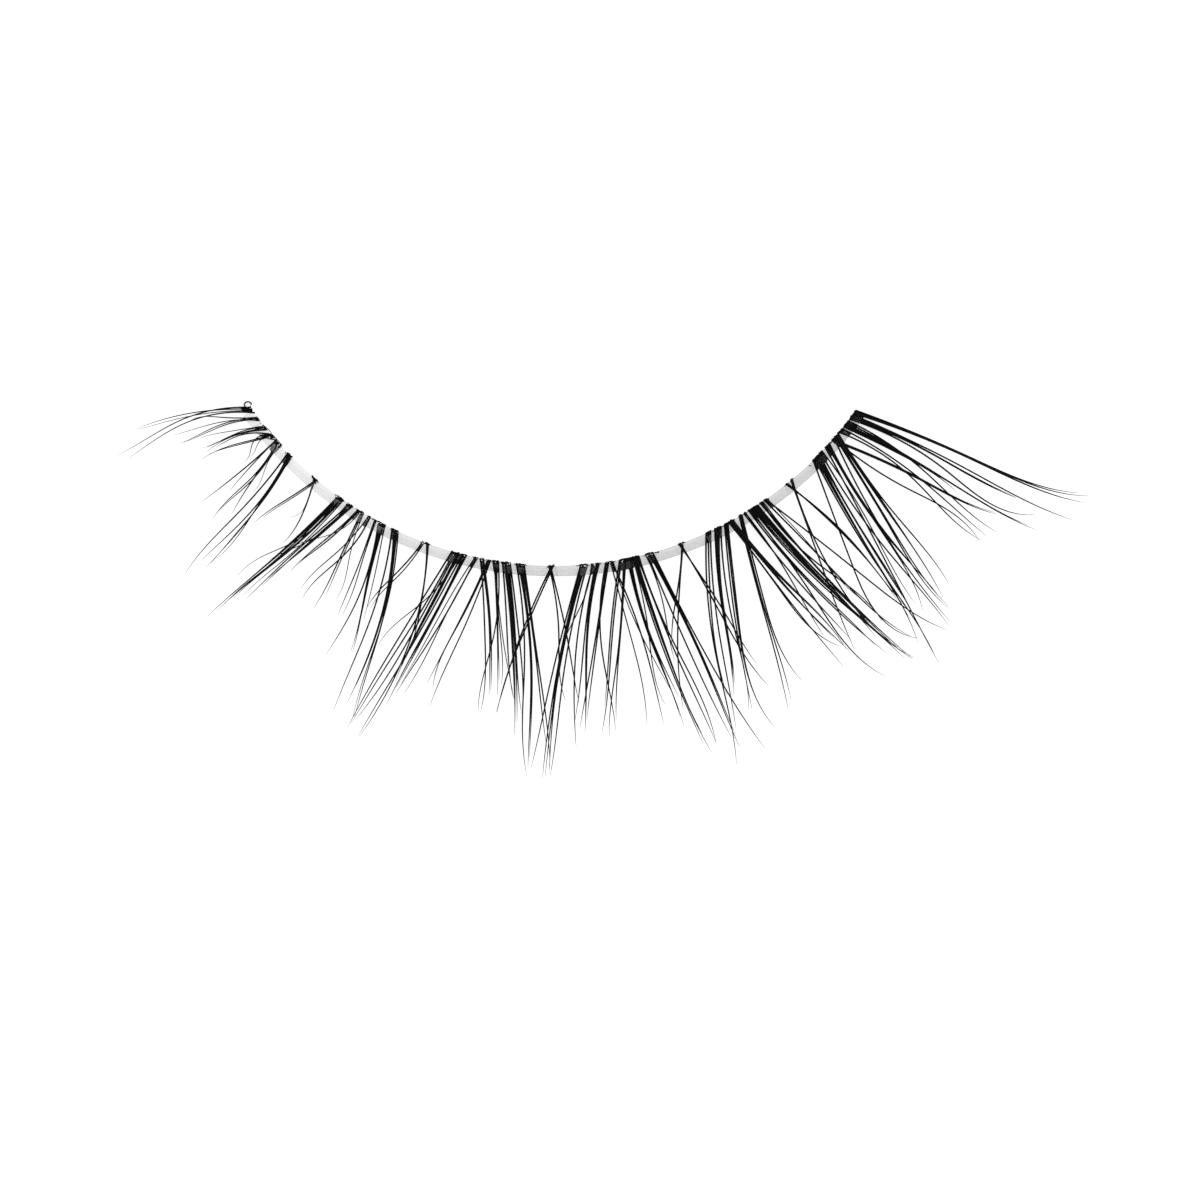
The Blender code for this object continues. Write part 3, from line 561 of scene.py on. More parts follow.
grow_fibres = fibre_tree()
print("nodes in the fibre tree:", len(grow_fibres.nodes))

# %% [markdown]
# The fibre is a synthetic hair, dyed black through and through, with a soft satin surface. It is
# thinner than a pixel for most of its length, so its finish is kept simple where nobody could see
# more: a black that varies a little from fibre to fibre and along each one, a bit browner at the
# worn tips, and fine lengthwise unevenness. The same group of nodes also colours
# the fused root blocks, where the fibres are soaked in glue and shine more.

# %% The finish of black fibre
def shader_group(name, inputs, outputs):
    """An empty shader node group with named inputs and outputs."""
    group = bpy.data.node_groups.new(name, "ShaderNodeTree")
    for label, value in inputs.items():
        kind = "NodeSocketColor" if isinstance(value, tuple) else "NodeSocketFloat"
        group.interface.new_socket(label, in_out="INPUT", socket_type=kind).default_value = value
    for label, kind in outputs.items():
        group.interface.new_socket(label, in_out="OUTPUT", socket_type=kind)
    return group, group.nodes.new("NodeGroupInput").outputs, group.nodes.new("NodeGroupOutput").inputs


def mix_colours(tree, share, first, second):
    """Mixes two colours by a share."""
    node = tree.nodes.new("ShaderNodeMix")
    node.data_type = "RGBA"
    for label, value in (("Factor", share), ("A", first), ("B", second)):
        socket = next(s for s in node.inputs if s.name == label and s.enabled)
        if isinstance(value, bpy.types.NodeSocket):
            tree.links.new(value, socket)
        else:
            socket.default_value = value
    return next(socket for socket in node.outputs if socket.enabled)


def dyed_fibre_group():
    group, given, result = shader_group("dyed fibre", {
        "Deep Colour": (0.002, 0.002, 0.002, 1.0),
        "Worn Colour": (0.012, 0.011, 0.010, 1.0),
        "Roughness": 0.42,
        "Unevenness": 0.15,
    }, {"Color": "NodeSocketColor", "Roughness": "NodeSocketFloat", "Height": "NodeSocketFloat"})
    along = add_node(group, "ShaderNodeAttribute", {"attribute_name": "along"}).outputs["Fac"]
    place = add_node(group, "ShaderNodeTexCoord").outputs["Object"]
    broad = add_node(group, "ShaderNodeTexNoise", Vector=place, Scale=900.0, Detail=2.0).outputs[0]
    fine = add_node(group, "ShaderNodeTexNoise", Vector=place, Scale=21000.0, Detail=2.0).outputs[0]
    worn = calculate(group, "MULTIPLY", calculate(group, "POWER", along, 3.0), 0.8)
    share = calculate(group, "ADD", worn, calculate(group, "MULTIPLY", broad, given["Unevenness"]))
    colour = mix_colours(group, share, given["Deep Colour"], given["Worn Colour"])
    rough = calculate(group, "ADD", given["Roughness"], calculate(
        group, "MULTIPLY", calculate(group, "SUBTRACT", fine, 0.5), given["Unevenness"]))
    group.links.new(colour, result["Color"])
    group.links.new(rough, result["Roughness"])
    group.links.new(fine, result["Height"])
    return group


dyed_fibre = dyed_fibre_group()


def place_group(tree, group, **values):
    """Places a node group in a material, with its values."""
    node = tree.nodes.new("ShaderNodeGroup")
    node.node_tree = group
    for label, value in values.items():
        node.inputs[label.replace("_", " ")].default_value = value
    return node


def fibre_material(name, roughness, gloss, worn):
    """Black fibre with a roughness, a gloss and the colour of its worn ends."""
    made = bpy.data.materials.new(name)
    made.use_nodes = True
    tree = made.node_tree
    shader = tree.nodes["Principled BSDF"]
    finish = place_group(tree, dyed_fibre, Roughness=roughness, Worn_Colour=worn)
    bump = tree.nodes.new("ShaderNodeBump")
    bump.inputs["Strength"].default_value = 0.25
    bump.inputs["Distance"].default_value = 0.004 * MM
    tree.links.new(finish.outputs["Height"], bump.inputs["Height"])
    tree.links.new(finish.outputs["Color"], shader.inputs["Base Color"])
    tree.links.new(finish.outputs["Roughness"], shader.inputs["Roughness"])
    tree.links.new(bump.outputs[0], shader.inputs["Normal"])
    shader.inputs["Specular IOR Level"].default_value = gloss
    return made


black_fibre = fibre_material("black_fibre", 0.55, 0.06, (0.012, 0.011, 0.010, 1.0))
root_block = fibre_material("root_block", 0.45, 0.04, (0.005, 0.005, 0.005, 1.0))
print("finishes:", black_fibre.name, root_block.name)

# %% [markdown]
# Each tuft's roots were laid side by side on the band, fused and cut off along its inner edge. The
# block that they make is flat and black, with the ridges of its fibres on it and a ragged cut. It
# is a sleeve of rings, skewed so that its cut follows the band while the block points the way its
# strands leave and opens as they do. Where strands part in two ways there are two small blocks. The
# cutting also left slivers of fibre stuck along the edge, and in places a thread of them lying on it.

# %% Root blocks
BLOCK_RINGS = [
    # along the block, its width and its height, as shares
    (0.02, 0.86, 0.45),
    (0.06, 1.00, 0.80),
    (0.25, 1.00, 1.00),
    (0.55, 1.00, 0.85),
    (0.80, 0.94, 0.60),
    (1.00, 0.80, 0.30),
]
BLOCK_LENGTH = 1.20 * BAND_WIDTH
BLOCK_SIDES = 28
BLOCK_HEIGHT = 0.62                  # as a share of the solid knot's
WIDEST_OPENING = 1.4                 # of a block's far end, as a share of its width
LEAST_OPENING = 0.7
OPENING_SHARE = 0.8                  # of a block's length, over which its strands part
RIDGE = 0.10                         # how far a fibre's ridge stands out, as a share
FLATNESS = 0.7                       # the power that squares off a block's sides
CUT_END = 0.2                        # the share of a block's length that its ragged cut reaches
RAGGED_CUT = 0.05 * MM
SLIVER_SIDES = 5
LEAST_SLIVERS = 3
SLIVER_MARGIN = 0.14 * MM            # slivers lie over this much more than a block's width
THREAD_STEPS = 16
THREAD_HEIGHT = 0.03 * MM
STUB_TILT = 1.6                      # the height of a stub's start, in its thicknesses
EDGE_THREADS = {
    # from and to as shares of the arc, and how far inside the band's inner edge
    "lash_tuft_04": (0.030, 0.066, 0.10 * MM),
    "lash_tuft_10": (0.224, 0.252, 0.03 * MM),
    "lash_tuft_16": (0.403, 0.427, 0.03 * MM),
    "lash_tuft_19": (0.531, 0.546, 0.00 * MM),
    "lash_tuft_26": (0.731, 0.750, -0.02 * MM),
}
EDGE_STUBS = {
    # the start's share of the arc and how far it is inside the inner edge, the same two for the
    # end, and the thickness
    "cross_pair_1": (0.1257, 0.07 * MM, 0.1378, -0.15 * MM, 0.11 * MM),
    "cross_pair_2": (0.3140, 0.08 * MM, 0.3195, -0.06 * MM, 0.11 * MM),
    "lash_tuft_24": (0.6440, 0.00 * MM, 0.6510, -0.03 * MM, 0.07 * MM),
    "lash_tuft_32": (0.8165, 0.05 * MM, 0.8234, -0.07 * MM, 0.06 * MM),
    "lash_tuft_33": (0.8970, -0.02 * MM, 0.8996, -0.09 * MM, 0.06 * MM),
}


def root_clusters(tuft):
    """The blocks of a tuft: the middle along the band, the width and the strands of each."""
    spacing = root_spacing(tuft)
    if tuft.name not in TWO_BLOCKS:
        return [(tuft.place, tuft.width, tuft.strands)]
    first_block = TWO_BLOCKS[tuft.name]
    clusters = []
    for side, strands in ((-1, tuft.strands[:first_block]), (1, tuft.strands[first_block:])):
        width = spacing * fibre_count(strands)
        clusters.append((tuft.place + side * (tuft.width - width) / 2 / BAND_LENGTH, width, strands))
    return clusters


def bridge(shape, rings):
    """Closes a row of rings of points into a solid sleeve."""
    sides = len(rings[0])
    for near, far in zip(rings, rings[1:]):
        for side in range(sides):
            after = (side + 1) % sides
            shape.faces.new((near[side], near[after], far[after], far[side]))
    shape.faces.new(rings[0])
    shape.faces.new(rings[-1])


def add_block(shape, dice, place, width, strands):
    """One fused block of roots."""
    fibres = fibre_count(strands)
    height = packed_radius(fibres) * BLOCK_HEIGHT
    aim = math.radians(sum(strand.aim * strand.fibres for strand in strands) / fibres)
    opening = math.radians(strands[-1].aim - strands[0].aim) * BLOCK_LENGTH * OPENING_SHARE
    far_width = min(max(width + opening, LEAST_OPENING * width), WIDEST_OPENING * width)
    start = arc_point(place, INNER_EDGE - ROOT_OVERHANG)
    start.z = BLOCK_BASE + height
    angle = (place - 0.5) * BAND_SPREAD
    sideways = Vector((math.cos(angle), math.sin(angle), 0.0))
    axis = Vector((math.sin(aim), -math.cos(aim), 0.0))
    ragged = [dice.uniform(-1.0, 1.0) * RAGGED_CUT for side in range(BLOCK_SIDES)]
    rings = []
    for along, wide, high in BLOCK_RINGS:
        ring = []
        breadth = (width + (far_width - width) * along) * wide / 2
        for side in range(BLOCK_SIDES):
            turn = 2 * math.pi * side / BLOCK_SIDES
            bulge = 1.0 + RIDGE * math.cos(turn * 2 * fibres)
            across = math.copysign(abs(math.cos(turn)) ** FLATNESS, math.cos(turn)) * breadth
            uneven = ragged[side] * (1.0 if along < CUT_END or along == 1.0 else 0.0)
            up = math.sin(turn) * high * height * bulge
            ring.append(shape.verts.new(start + axis * (along * BLOCK_LENGTH + uneven)
                                        + sideways * across + Vector((0.0, 0.0, up))))
        rings.append(ring)
    bridge(shape, rings)


def add_rod(shape, points, radii):
    """A thin solid along a row of points, with a radius at each."""
    rings = []
    for number, (point, radius) in enumerate(zip(points, radii)):
        ahead = points[min(number + 1, len(points) - 1)] - points[max(number - 1, 0)]
        sideways = ahead.cross(Vector((0.0, 0.0, 1.0))).normalized()
        upwards = sideways.cross(ahead).normalized()
        rings.append([])
        for side in range(SLIVER_SIDES):
            turn = 2 * math.pi * side / SLIVER_SIDES
            corner = sideways * math.cos(turn) + upwards * math.sin(turn)
            rings[-1].append(shape.verts.new(point + corner * radius))
    bridge(shape, rings)


def add_slivers(shape, dice, place, width, fibres):
    """Cut-off bits of fibre stuck along the inner edge beside a block."""
    for number in range(LEAST_SLIVERS + fibres // 2):
        beside = place + dice.uniform(-0.5, 0.5) * (width + SLIVER_MARGIN) / BAND_LENGTH
        angle = (beside - 0.5) * BAND_SPREAD + dice.gauss(0.0, 0.5)
        radius = dice.uniform(0.014, 0.028) * MM
        reach = Vector((math.cos(angle), math.sin(angle), 0.0)) * dice.uniform(0.03, 0.08) * MM
        middle = arc_point(beside, INNER_EDGE + dice.uniform(-0.05, 0.04) * MM)
        middle.z = BLOCK_BASE + radius + dice.uniform(0.0, 0.12) * MM
        add_rod(shape, [middle - reach, middle - reach * 0.4, middle + reach * 0.5, middle + reach],
                [0.4 * radius, radius, 0.9 * radius, 0.3 * radius])


def add_thread(shape, dice, first, last, inward):
    """A thread of cut ends lying along the band's inner edge."""
    points = []
    radii = []
    for step in range(THREAD_STEPS + 1):
        place = first + (last - first) * step / THREAD_STEPS
        radius = dice.uniform(0.012, 0.028) * MM
        point = arc_point(place, INNER_EDGE - inward + dice.uniform(-0.015, 0.015) * MM)
        point.z = BLOCK_BASE + THREAD_HEIGHT
        points.append(point)
        radii.append(radius)
    add_rod(shape, points, radii)


def add_stub(shape, first, inward_first, last, inward_last, thickness):
    """A short thick end that lies askew on the inner edge."""
    start = arc_point(first, INNER_EDGE - inward_first)
    end = arc_point(last, INNER_EDGE - inward_last)
    start.z = BLOCK_BASE + STUB_TILT * thickness
    end.z = BLOCK_BASE + thickness
    points = [start.lerp(end, share) for share in (0.0, 0.12, 0.5, 0.9, 1.0)]
    add_rod(shape, points, [thickness * share for share in (0.30, 0.48, 0.40, 0.50, 0.30)])


def smooth_mesh(name, shape, material):
    """A drawn shape as a mesh with smooth faces and one material."""
    for face in shape.faces:
        face.smooth = True
    mesh = bpy.data.meshes.new(name)
    shape.to_mesh(mesh)
    shape.free()
    mesh.materials.append(material)
    return mesh


def block_mesh(tuft):
    """The fused root blocks of a tuft, with the slivers, thread and stub beside them."""
    dice = random.Random(tuft.name)
    shape = bmesh.new()
    for place, width, strands in root_clusters(tuft):
        add_block(shape, dice, place, width, strands)
        add_slivers(shape, dice, place, width, fibre_count(strands))
    if tuft.name in EDGE_THREADS:
        add_thread(shape, dice, *EDGE_THREADS[tuft.name])
    if tuft.name in EDGE_STUBS:
        add_stub(shape, *EDGE_STUBS[tuft.name])
    bmesh.ops.recalc_face_normals(shape, faces=shape.faces)
    return smooth_mesh(tuft.name + "_block", shape, root_block)


# %% Grow the tufts
FADE_INNER = 2.4                     # the power by which fibres thin out at the inner corner
FADE_OUTER = 4.5                     # and from the middle to the outer corner


def guide_mesh(tuft):
    """A tuft's middle lines as rows of edges that carry their numbers."""
    points = []
    edges = []
    fade = FADE_INNER + (FADE_OUTER - FADE_INNER) * min(2.0 * tuft.place, 1.0)
    numbers = {"fibres": [], "root_width": [], "tip_width": [], "weight": [], "fade": []}
    for strand, share in zip(tuft.strands, root_shares(tuft)):
        line = strand_line(tuft, strand, share)
        edges += [(len(points) + place, len(points) + place + 1) for place in range(len(line) - 1)]
        points += line
        numbers["fibres"] += [strand.fibres] * len(line)
        numbers["root_width"] += [strand.fibres * root_spacing(tuft)] * len(line)
        numbers["tip_width"] += [strand.tips * MM] * len(line)
        numbers["weight"] += [strand.weight] * len(line)
        numbers["fade"] += [fade] * len(line)
    mesh = bpy.data.meshes.new(tuft.name + "_guides")
    mesh.from_pydata(points, edges, [])
    for label, values in numbers.items():
        kind = "INT" if label == "fibres" else "FLOAT"
        mesh.attributes.new(label, kind, "POINT").data.foreach_set("value", values)
    return mesh


def joined(name, meshes):
    """One object from several meshes, each with its own materials."""
    materials = []
    shape = bmesh.new()
    for mesh in meshes:
        first = len(materials)
        materials += list(mesh.materials)
        before = len(shape.faces)
        shape.from_mesh(mesh)
        shape.faces.ensure_lookup_table()
        for face in shape.faces[before:]:
            face.material_index += first
    result = bpy.data.meshes.new(name)
    shape.to_mesh(result)
    shape.free()
    for made in materials:
        result.materials.append(made)
    piece = bpy.data.objects.new(name, result)
    bpy.context.scene.collection.objects.link(piece)
    return piece


def triangle_count(mesh):
    """How many triangles a mesh has once its faces are split."""
    return sum(len(face.vertices) - 2 for face in mesh.polygons)


fibre_triangles = 0
for number, tuft in enumerate(TUFTS):
    fibres = grown_mesh(tuft.name + "_fibres", guide_mesh(tuft), grow_fibres,
                        {"Material": black_fibre, "Seed": 10 * number})
    piece = joined(tuft.name + "_fibres", [fibres, block_mesh(tuft)])
    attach(piece, "root")
    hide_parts(tuft.name)
    fibre_triangles += triangle_count(piece.data)
print("triangles in all tufts:", fibre_triangles)

# %% [markdown]
# The band is two films of clear plastic with the roots between them. The lower one is the whole
# band; the upper one leaves a narrow strip free along the inner edge, so the cut ends show black
# there and dark grey where the film covers them. Both are swept along the same arc by one Geometry
# Nodes tree. The line that the upper film follows carries a lift wherever a root block lies under
# it, so the film rides up over each block and back down, as a film pressed over fibres does.

# %% The tree that sweeps a film along the band
def film_tree():
    """Sweeps a rounded strip along a line and lifts it as the line says."""
    tree, given = new_tree("sweep film", {
        "Width": 0.44 * MM,
        "Thickness": 0.12 * MM,
        "Edge Rounding": 0.02 * MM,
        "Waviness": 0.01 * MM,
    })
    line = add_node(tree, "GeometryNodeMeshToCurve", Mesh=given["Geometry"]).outputs[0]
    level = add_node(tree, "GeometryNodeSetCurveNormal", {"mode": "Z_UP"}, Curve=line).outputs[0]
    section = add_node(tree, "GeometryNodeCurvePrimitiveQuadrilateral", {"mode": "RECTANGLE"},
                       Width=given["Width"], Height=given["Thickness"])
    rounded = add_node(tree, "GeometryNodeFilletCurve", {"mode": "POLY"}, Curve=section.outputs[0],
                       Count=3, Radius=given["Edge Rounding"])
    swept = add_node(tree, "GeometryNodeCurveToMesh", Curve=level, Profile_Curve=rounded.outputs[0],
                     Fill_Caps=True)
    place = add_node(tree, "GeometryNodeInputPosition").outputs[0]
    noise = add_node(tree, "ShaderNodeTexNoise", Vector=place, Scale=1400.0, Detail=1.0).outputs[0]
    uneven = calculate(tree, "MULTIPLY", calculate(tree, "SUBTRACT", noise, 0.5), given["Waviness"])
    raised = calculate(tree, "ADD", uneven, named(tree, "lift"))
    rise = add_node(tree, "ShaderNodeCombineXYZ", Z=raised).outputs[0]
    placed = add_node(tree, "GeometryNodeSetPosition", Geometry=swept.outputs[0], Offset=rise)
    shaded = add_node(tree, "GeometryNodeSetShadeSmooth", Geometry=placed.outputs[0], Shade_Smooth=True)
    finish_tree(tree, shaded.outputs[0], given["Material"])
    return tree


sweep_film = film_tree()


def band_line(name, radius, height, segments, lift, glue):
    """The arc that a film follows, with its lift and its share of glue at each point."""
    points = []
    for place in range(segments + 1):
        point = arc_point(place / segments, radius)
        point.z = height
        points.append(point)
    mesh = bpy.data.meshes.new(name)
    mesh.from_pydata(points, [(place, place + 1) for place in range(segments)], [])
    lifts = [lift(place / segments) for place in range(segments + 1)]
    glues = [glue(place / segments) for place in range(segments + 1)]
    mesh.attributes.new("lift", "FLOAT", "POINT").data.foreach_set("value", lifts)
    mesh.attributes.new("glue", "FLOAT", "POINT").data.foreach_set("value", glues)
    return mesh


# %% [markdown]
# Clear film darkens what lies under it a little and looks faintly milky over black. Its finish is
# a grey Principled shader that lets most light through. A film is a closed strip, so it hides what
# lies under it twice, with its top and with its underside. The streaks that drawing left in the film
# run along the band, so they are a noise stretched along the arc and squeezed across it.

# %% The finish of clear film
def film_streak_group():
    """Streaks along the band, and the way from its inner (0) to its outer corner (1)."""
    group, given, result = shader_group("film streaks", {
        "Across": 26000.0,
        "Lengthwise": 420.0,
    }, {"Streaks": "NodeSocketFloat", "Outer Corner": "NodeSocketFloat"})
    place = add_node(group, "ShaderNodeTexCoord").outputs["Object"]
    centred = calculate_vector(group, "SUBTRACT", place, tuple(ARC_CENTRE))
    parts = add_node(group, "ShaderNodeSeparateXYZ", Vector=centred)
    flat = add_node(group, "ShaderNodeCombineXYZ", X=parts.outputs["X"], Y=parts.outputs["Y"]).outputs[0]
    radius = calculate_vector(group, "LENGTH", flat)
    down = calculate(group, "MULTIPLY", parts.outputs["Y"], -1.0)
    angle = calculate(group, "ARCTAN2", parts.outputs["X"], down)
    along = calculate(group, "MULTIPLY", angle, BAND_RADIUS)
    polar = add_node(
        group, "ShaderNodeCombineXYZ",
        X=calculate(group, "MULTIPLY", along, given["Lengthwise"]),
        Y=calculate(group, "MULTIPLY", radius, given["Across"]),
        Z=calculate(group, "MULTIPLY", parts.outputs["Z"], given["Across"]),
    ).outputs[0]
    streaks = add_node(group, "ShaderNodeTexNoise", Vector=polar, Scale=1.0, Detail=3.0).outputs[0]
    group.links.new(streaks, result["Streaks"])
    corner = calculate(group, "ADD", calculate(group, "DIVIDE", angle, BAND_SPREAD), 0.5)
    group.links.new(corner, result["Outer Corner"])
    return group


film_streaks = film_streak_group()


def film_material(name, alpha_inner, alpha_outer, milk_inner, milk_outer, roughness):
    """Clear film: how much it hides, and its milkiness, at the inner and the outer corner."""
    made = bpy.data.materials.new(name)
    made.use_nodes = True
    tree = made.node_tree
    shader = tree.nodes["Principled BSDF"]
    streak = place_group(tree, film_streaks)
    glue = add_node(tree, "ShaderNodeAttribute", {"attribute_name": "glue"}).outputs["Fac"]
    milk = mix_colours(tree, streak.outputs["Outer Corner"], milk_inner, milk_outer)
    tree.links.new(mix_colours(tree, glue, milk, (0.80, 0.80, 0.79, 1.0)), shader.inputs["Base Color"])
    doubled = calculate(tree, "MULTIPLY", streak.outputs["Outer Corner"], 2.0)
    half_way = calculate(tree, "MINIMUM", doubled, 1.0)
    alpha = calculate(tree, "MULTIPLY_ADD", half_way, alpha_outer - alpha_inner, alpha_inner)
    varied = calculate(tree, "MULTIPLY_ADD", streak.outputs["Streaks"], 0.9, 0.55)
    thick = calculate(tree, "MULTIPLY", alpha, calculate(tree, "MULTIPLY_ADD", glue, 0.8, varied))
    tree.links.new(thick, shader.inputs["Alpha"])
    bump = tree.nodes.new("ShaderNodeBump")
    bump.inputs["Strength"].default_value = 0.3
    bump.inputs["Distance"].default_value = 0.01 * MM
    tree.links.new(streak.outputs["Streaks"], bump.inputs["Height"])
    tree.links.new(bump.outputs[0], shader.inputs["Normal"])
    shader.inputs["Roughness"].default_value = roughness
    return made


lower_film = film_material("lower_film", 0.15, 0.40, (0.30, 0.30, 0.30, 1.0), (0.30, 0.30, 0.29, 1.0), 0.30)
upper_film = film_material("upper_film", 0.09, 0.035, (0.80, 0.80, 0.79, 1.0), (0.10, 0.10, 0.10, 1.0), 0.26)
print("finishes:", lower_film.name, upper_film.name)

# %% Lay the films
FILM_SEGMENTS = 700
UPPER_FILM_START = 0.12 * MM         # from the band's inner edge
FILM_OVERHANG = 0.03 * MM            # the soft edges of the films pass the solid band by this much
UPPER_FILM_WIDTH = BAND_WIDTH - UPPER_FILM_START + FILM_OVERHANG
UPPER_FILM_THICKNESS = 0.03 * MM
DRAPE = 0.16 * MM                    # a film comes back down over this distance beside a block
MOST_GLUE = 0.8                      # the share of glue half way down a drape
GLUED_HEIGHT = 0.2 * MM              # a film that rides this high has no glue under it
LOWER_ROUNDING = 0.025 * MM
UPPER_ROUNDING = 0.012 * MM
UPPER_WAVINESS = 0.008 * MM
FILM_GAP = 0.006 * MM                # between the two films


def block_cover(share):
    """How high the upper film rides at a share of the band, over the root blocks."""
    highest = 0.0
    for tuft in TUFTS:
        for place, width, strands in root_clusters(tuft):
            beside = abs(share - place) * BAND_LENGTH - width / 2
            if beside < DRAPE:
                height = SEAT_GAP + 2 * knot_radius(tuft) * BLOCK_HEIGHT
                highest = max(highest, height * smooth(1.0 - beside / DRAPE))
    return highest


def glue_share(share):
    """Glue gathers beside the blocks, where the film comes down."""
    share_of_height = min(block_cover(share) / GLUED_HEIGHT, 1.0)
    return MOST_GLUE * 4.0 * share_of_height * (1.0 - share_of_height)


def nothing(share):
    """The lower film lies flat and has no glue on it."""
    return 0.0


lower_line = band_line("lower_line", BAND_RADIUS, BAND_THICKNESS / 2, FILM_SEGMENTS, nothing, nothing)
lower = joined("band_film", [grown_mesh("band_film", lower_line, sweep_film, {
    "Material": lower_film, "Width": BAND_WIDTH + 2 * FILM_OVERHANG, "Thickness": BAND_THICKNESS,
    "Edge Rounding": LOWER_ROUNDING, "Waviness": 0.0})])
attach(lower, "root")
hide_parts("clear_band")

upper_radius = INNER_EDGE + UPPER_FILM_START + UPPER_FILM_WIDTH / 2
upper_height = BAND_THICKNESS + UPPER_FILM_THICKNESS / 2 + FILM_GAP
upper_line = band_line("upper_line", upper_radius, upper_height, FILM_SEGMENTS, block_cover, glue_share)
upper = joined("cover_film", [grown_mesh("cover_film", upper_line, sweep_film, {
    "Material": upper_film, "Width": UPPER_FILM_WIDTH, "Thickness": UPPER_FILM_THICKNESS,
    "Edge Rounding": UPPER_ROUNDING, "Waviness": UPPER_WAVINESS})])
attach(upper, "root")
print("triangles in the films:", triangle_count(lower.data), triangle_count(upper.data))

# %% [markdown]
# The band ends at the inner corner in a drop of clear glue, caught in a loop of the last fibre. The
# drop is glass to the renderer, so it bends the light. The loop gives it the dark rim it has on
# white. Small pale beads stand on the root blocks, except near the outer corner: they are painted
# glints, the highlights that the film shows over the black roots, given the colour of dried glue.

# %% The drop of glue at the inner corner
DROP_DIAMETER = 0.34 * MM
DROP_HEIGHT = 0.22 * MM
LOOP_THICKNESS = 0.075 * MM
LOOP_STEPS = 28
LOOP_TURN = math.radians(330.0)
BEADS_PER_TUFT = 4
BEADS_END = 0.70                     # the share of the arc where the beads stop
DROP_PLACE = -0.010                  # just past the inner corner, as a share of the arc
DROP_INWARD = 0.24 * MM              # inside the band's middle line
DROP_LIFT = 0.002 * MM
DROP_SWELL = 0.08
LOOP_RADII = (0.50, 0.42)            # as shares of the drop's diameter
LOOP_HEIGHT = 0.75                   # as a share of the drop's height
LOOP_RISE = 0.03 * MM


def glue_and_glint_material(name, roughness, across, lengthwise, dark, light):
    """Glue, and the pale beads of painted glint, whose tone varies between two colours, and its shader."""
    made = bpy.data.materials.new(name)
    made.use_nodes = True
    shader = made.node_tree.nodes["Principled BSDF"]
    shader.inputs["Roughness"].default_value = roughness
    streaks = place_group(made.node_tree, film_streaks, Across=across, Lengthwise=lengthwise)
    tone = mix_colours(made.node_tree, streaks.outputs["Streaks"], dark, light)
    made.node_tree.links.new(tone, shader.inputs["Base Color"])
    return made, shader


glue_drop, drop_shader = glue_and_glint_material("glue_drop", 0.03, 9000.0, 6000.0,
                                       (0.93, 0.93, 0.92, 1.0), (1.0, 1.0, 1.0, 1.0))
drop_shader.inputs["Transmission Weight"].default_value = 1.0
drop_shader.inputs["IOR"].default_value = 1.48
# The beads' pale colour is a painted glint: it stands for highlights of the film over the black roots.
dry_glue, glint_shader = glue_and_glint_material("dry_glue", 0.35, 30000.0, 30000.0,
                                     (0.60, 0.60, 0.59, 1.0), (0.95, 0.95, 0.94, 1.0))

shape = bmesh.new()
bmesh.ops.create_icosphere(shape, subdivisions=4, radius=1.0)
drop_middle = arc_point(DROP_PLACE, BAND_RADIUS - DROP_INWARD)
for vert in shape.verts:
    swell = 1.0 + DROP_SWELL * math.sin(3.0 * vert.co.x + 1.0) * math.cos(2.0 * vert.co.y)
    vert.co = Vector((
        drop_middle.x + vert.co.x * swell * DROP_DIAMETER / 2,
        drop_middle.y + vert.co.y * swell * DROP_DIAMETER / 2,
        DROP_HEIGHT / 2 + DROP_LIFT + vert.co.z * DROP_HEIGHT / 2,
    ))
drop_mesh = smooth_mesh("glue_drop", shape, glue_drop)

loop_shape = bmesh.new()
ring_points = []
for step in range(LOOP_STEPS + 1):
    turn = LOOP_TURN * step / LOOP_STEPS
    ring_points.append(Vector((
        drop_middle.x + math.cos(turn) * LOOP_RADII[0] * DROP_DIAMETER,
        drop_middle.y + math.sin(turn) * LOOP_RADII[1] * DROP_DIAMETER,
        DROP_HEIGHT * LOOP_HEIGHT + LOOP_RISE * math.sin(turn),
    )))
add_rod(loop_shape, ring_points, [LOOP_THICKNESS / 2] * (LOOP_STEPS + 1))
bmesh.ops.recalc_face_normals(loop_shape, faces=loop_shape.faces)
loop_mesh = smooth_mesh("fibre_loop", loop_shape, root_block)
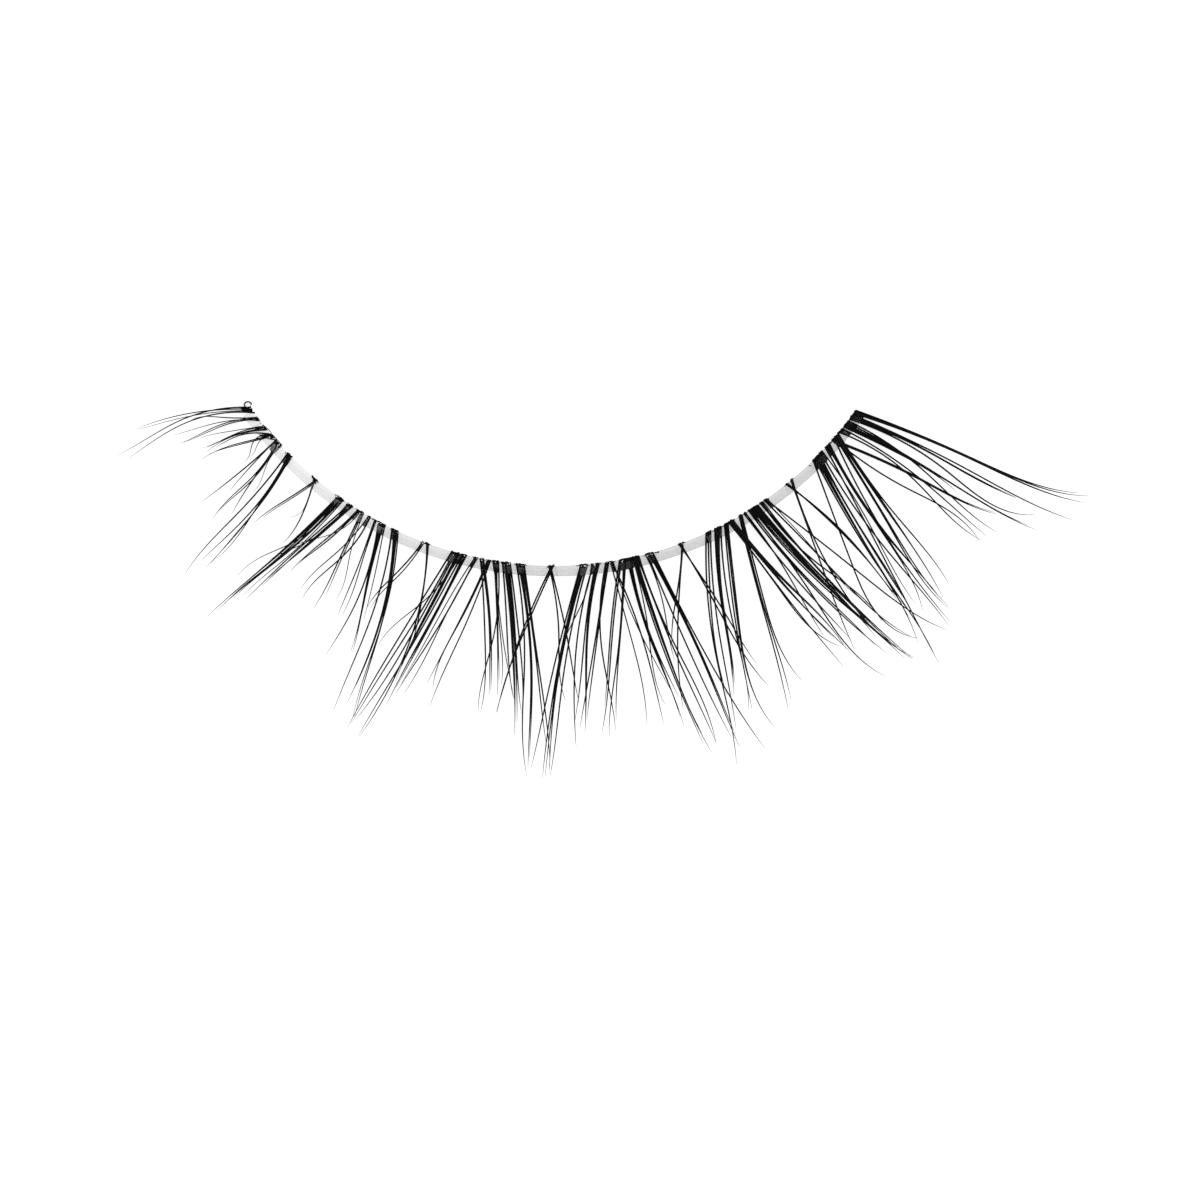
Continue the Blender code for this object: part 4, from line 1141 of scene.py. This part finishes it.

# Pale beads on the root blocks, up to BEADS_END along the arc: painted glints, not dried glue.
bead_shape = bmesh.new()
dice = random.Random("glue beads")
for tuft in TUFTS:
    for number in range(BEADS_PER_TUFT if tuft.place < BEADS_END else 0):
        place = tuft.place + dice.uniform(-0.5, 0.5) * tuft.width / BAND_LENGTH
        middle = arc_point(place, INNER_EDGE + dice.uniform(-0.03, 0.12) * MM)
        middle.z = BLOCK_BASE + 2 * knot_radius(tuft) * BLOCK_HEIGHT
        size = dice.uniform(0.018, 0.036) * MM
        squashed = Matrix.Diagonal((size, size * dice.uniform(0.6, 1.0), 0.7 * size, 1.0))
        flat = Matrix.Translation(middle) @ squashed
        bmesh.ops.create_icosphere(bead_shape, subdivisions=2, radius=1.0, matrix=flat)
bead_mesh = smooth_mesh("glue_beads", bead_shape, dry_glue)
drop = joined("glue_drop", [drop_mesh, loop_mesh, bead_mesh])
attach(drop, "root")
print("the drop is", round(DROP_DIAMETER / MM, 2), "mm across")

# %% [markdown]
# The strip lies on plain white, lit so softly that it casts no shadow that one could point at. A
# white world gives that even light, and one large soft panel above the outer corner adds the
# small highlights that tell round fibres and smooth film from flat ink. The card is lit from below
# as well, as a light table is, which keeps it white right under the lashes.

# %% Floor, light and finish
floor_mesh = bpy.data.meshes.new("floor")
shape = bmesh.new()
bmesh.ops.create_grid(shape, x_segments=1, y_segments=1, size=1.5)
shape.to_mesh(floor_mesh)
shape.free()
floor = bpy.data.objects.new("floor", floor_mesh)
bpy.context.scene.collection.objects.link(floor)
white_card = bpy.data.materials.new("white_card")
white_card.use_nodes = True
card_shader = white_card.node_tree.nodes["Principled BSDF"]
card_shader.inputs["Base Color"].default_value = (0.32, 0.32, 0.32, 1.0)
card_shader.inputs["Roughness"].default_value = 0.9
card_shader.inputs["Specular IOR Level"].default_value = 0.1
card_shader.inputs["Emission Color"].default_value = (1.0, 1.0, 1.0, 1.0)
card_shader.inputs["Emission Strength"].default_value = 0.80
floor_mesh.materials.append(white_card)

world = bpy.data.worlds.new("soft_white")
world.use_nodes = True
world.node_tree.nodes["Background"].inputs["Color"].default_value = (1.0, 1.0, 1.0, 1.0)
world.node_tree.nodes["Background"].inputs["Strength"].default_value = 0.8
bpy.context.scene.world = world

panel_data = bpy.data.lights.new("soft_panel", "AREA")
panel_data.shape = "SQUARE"
panel_data.size = 0.5
panel_data.energy = 1.5
panel = bpy.data.objects.new("soft_panel", panel_data)
panel.location = (0.15, 0.25, 0.6)
panel.rotation_euler = (-Vector(panel.location)).to_track_quat("-Z", "Y").to_euler()
bpy.context.scene.collection.objects.link(panel)
bpy.context.scene.view_settings.view_transform = "Standard"
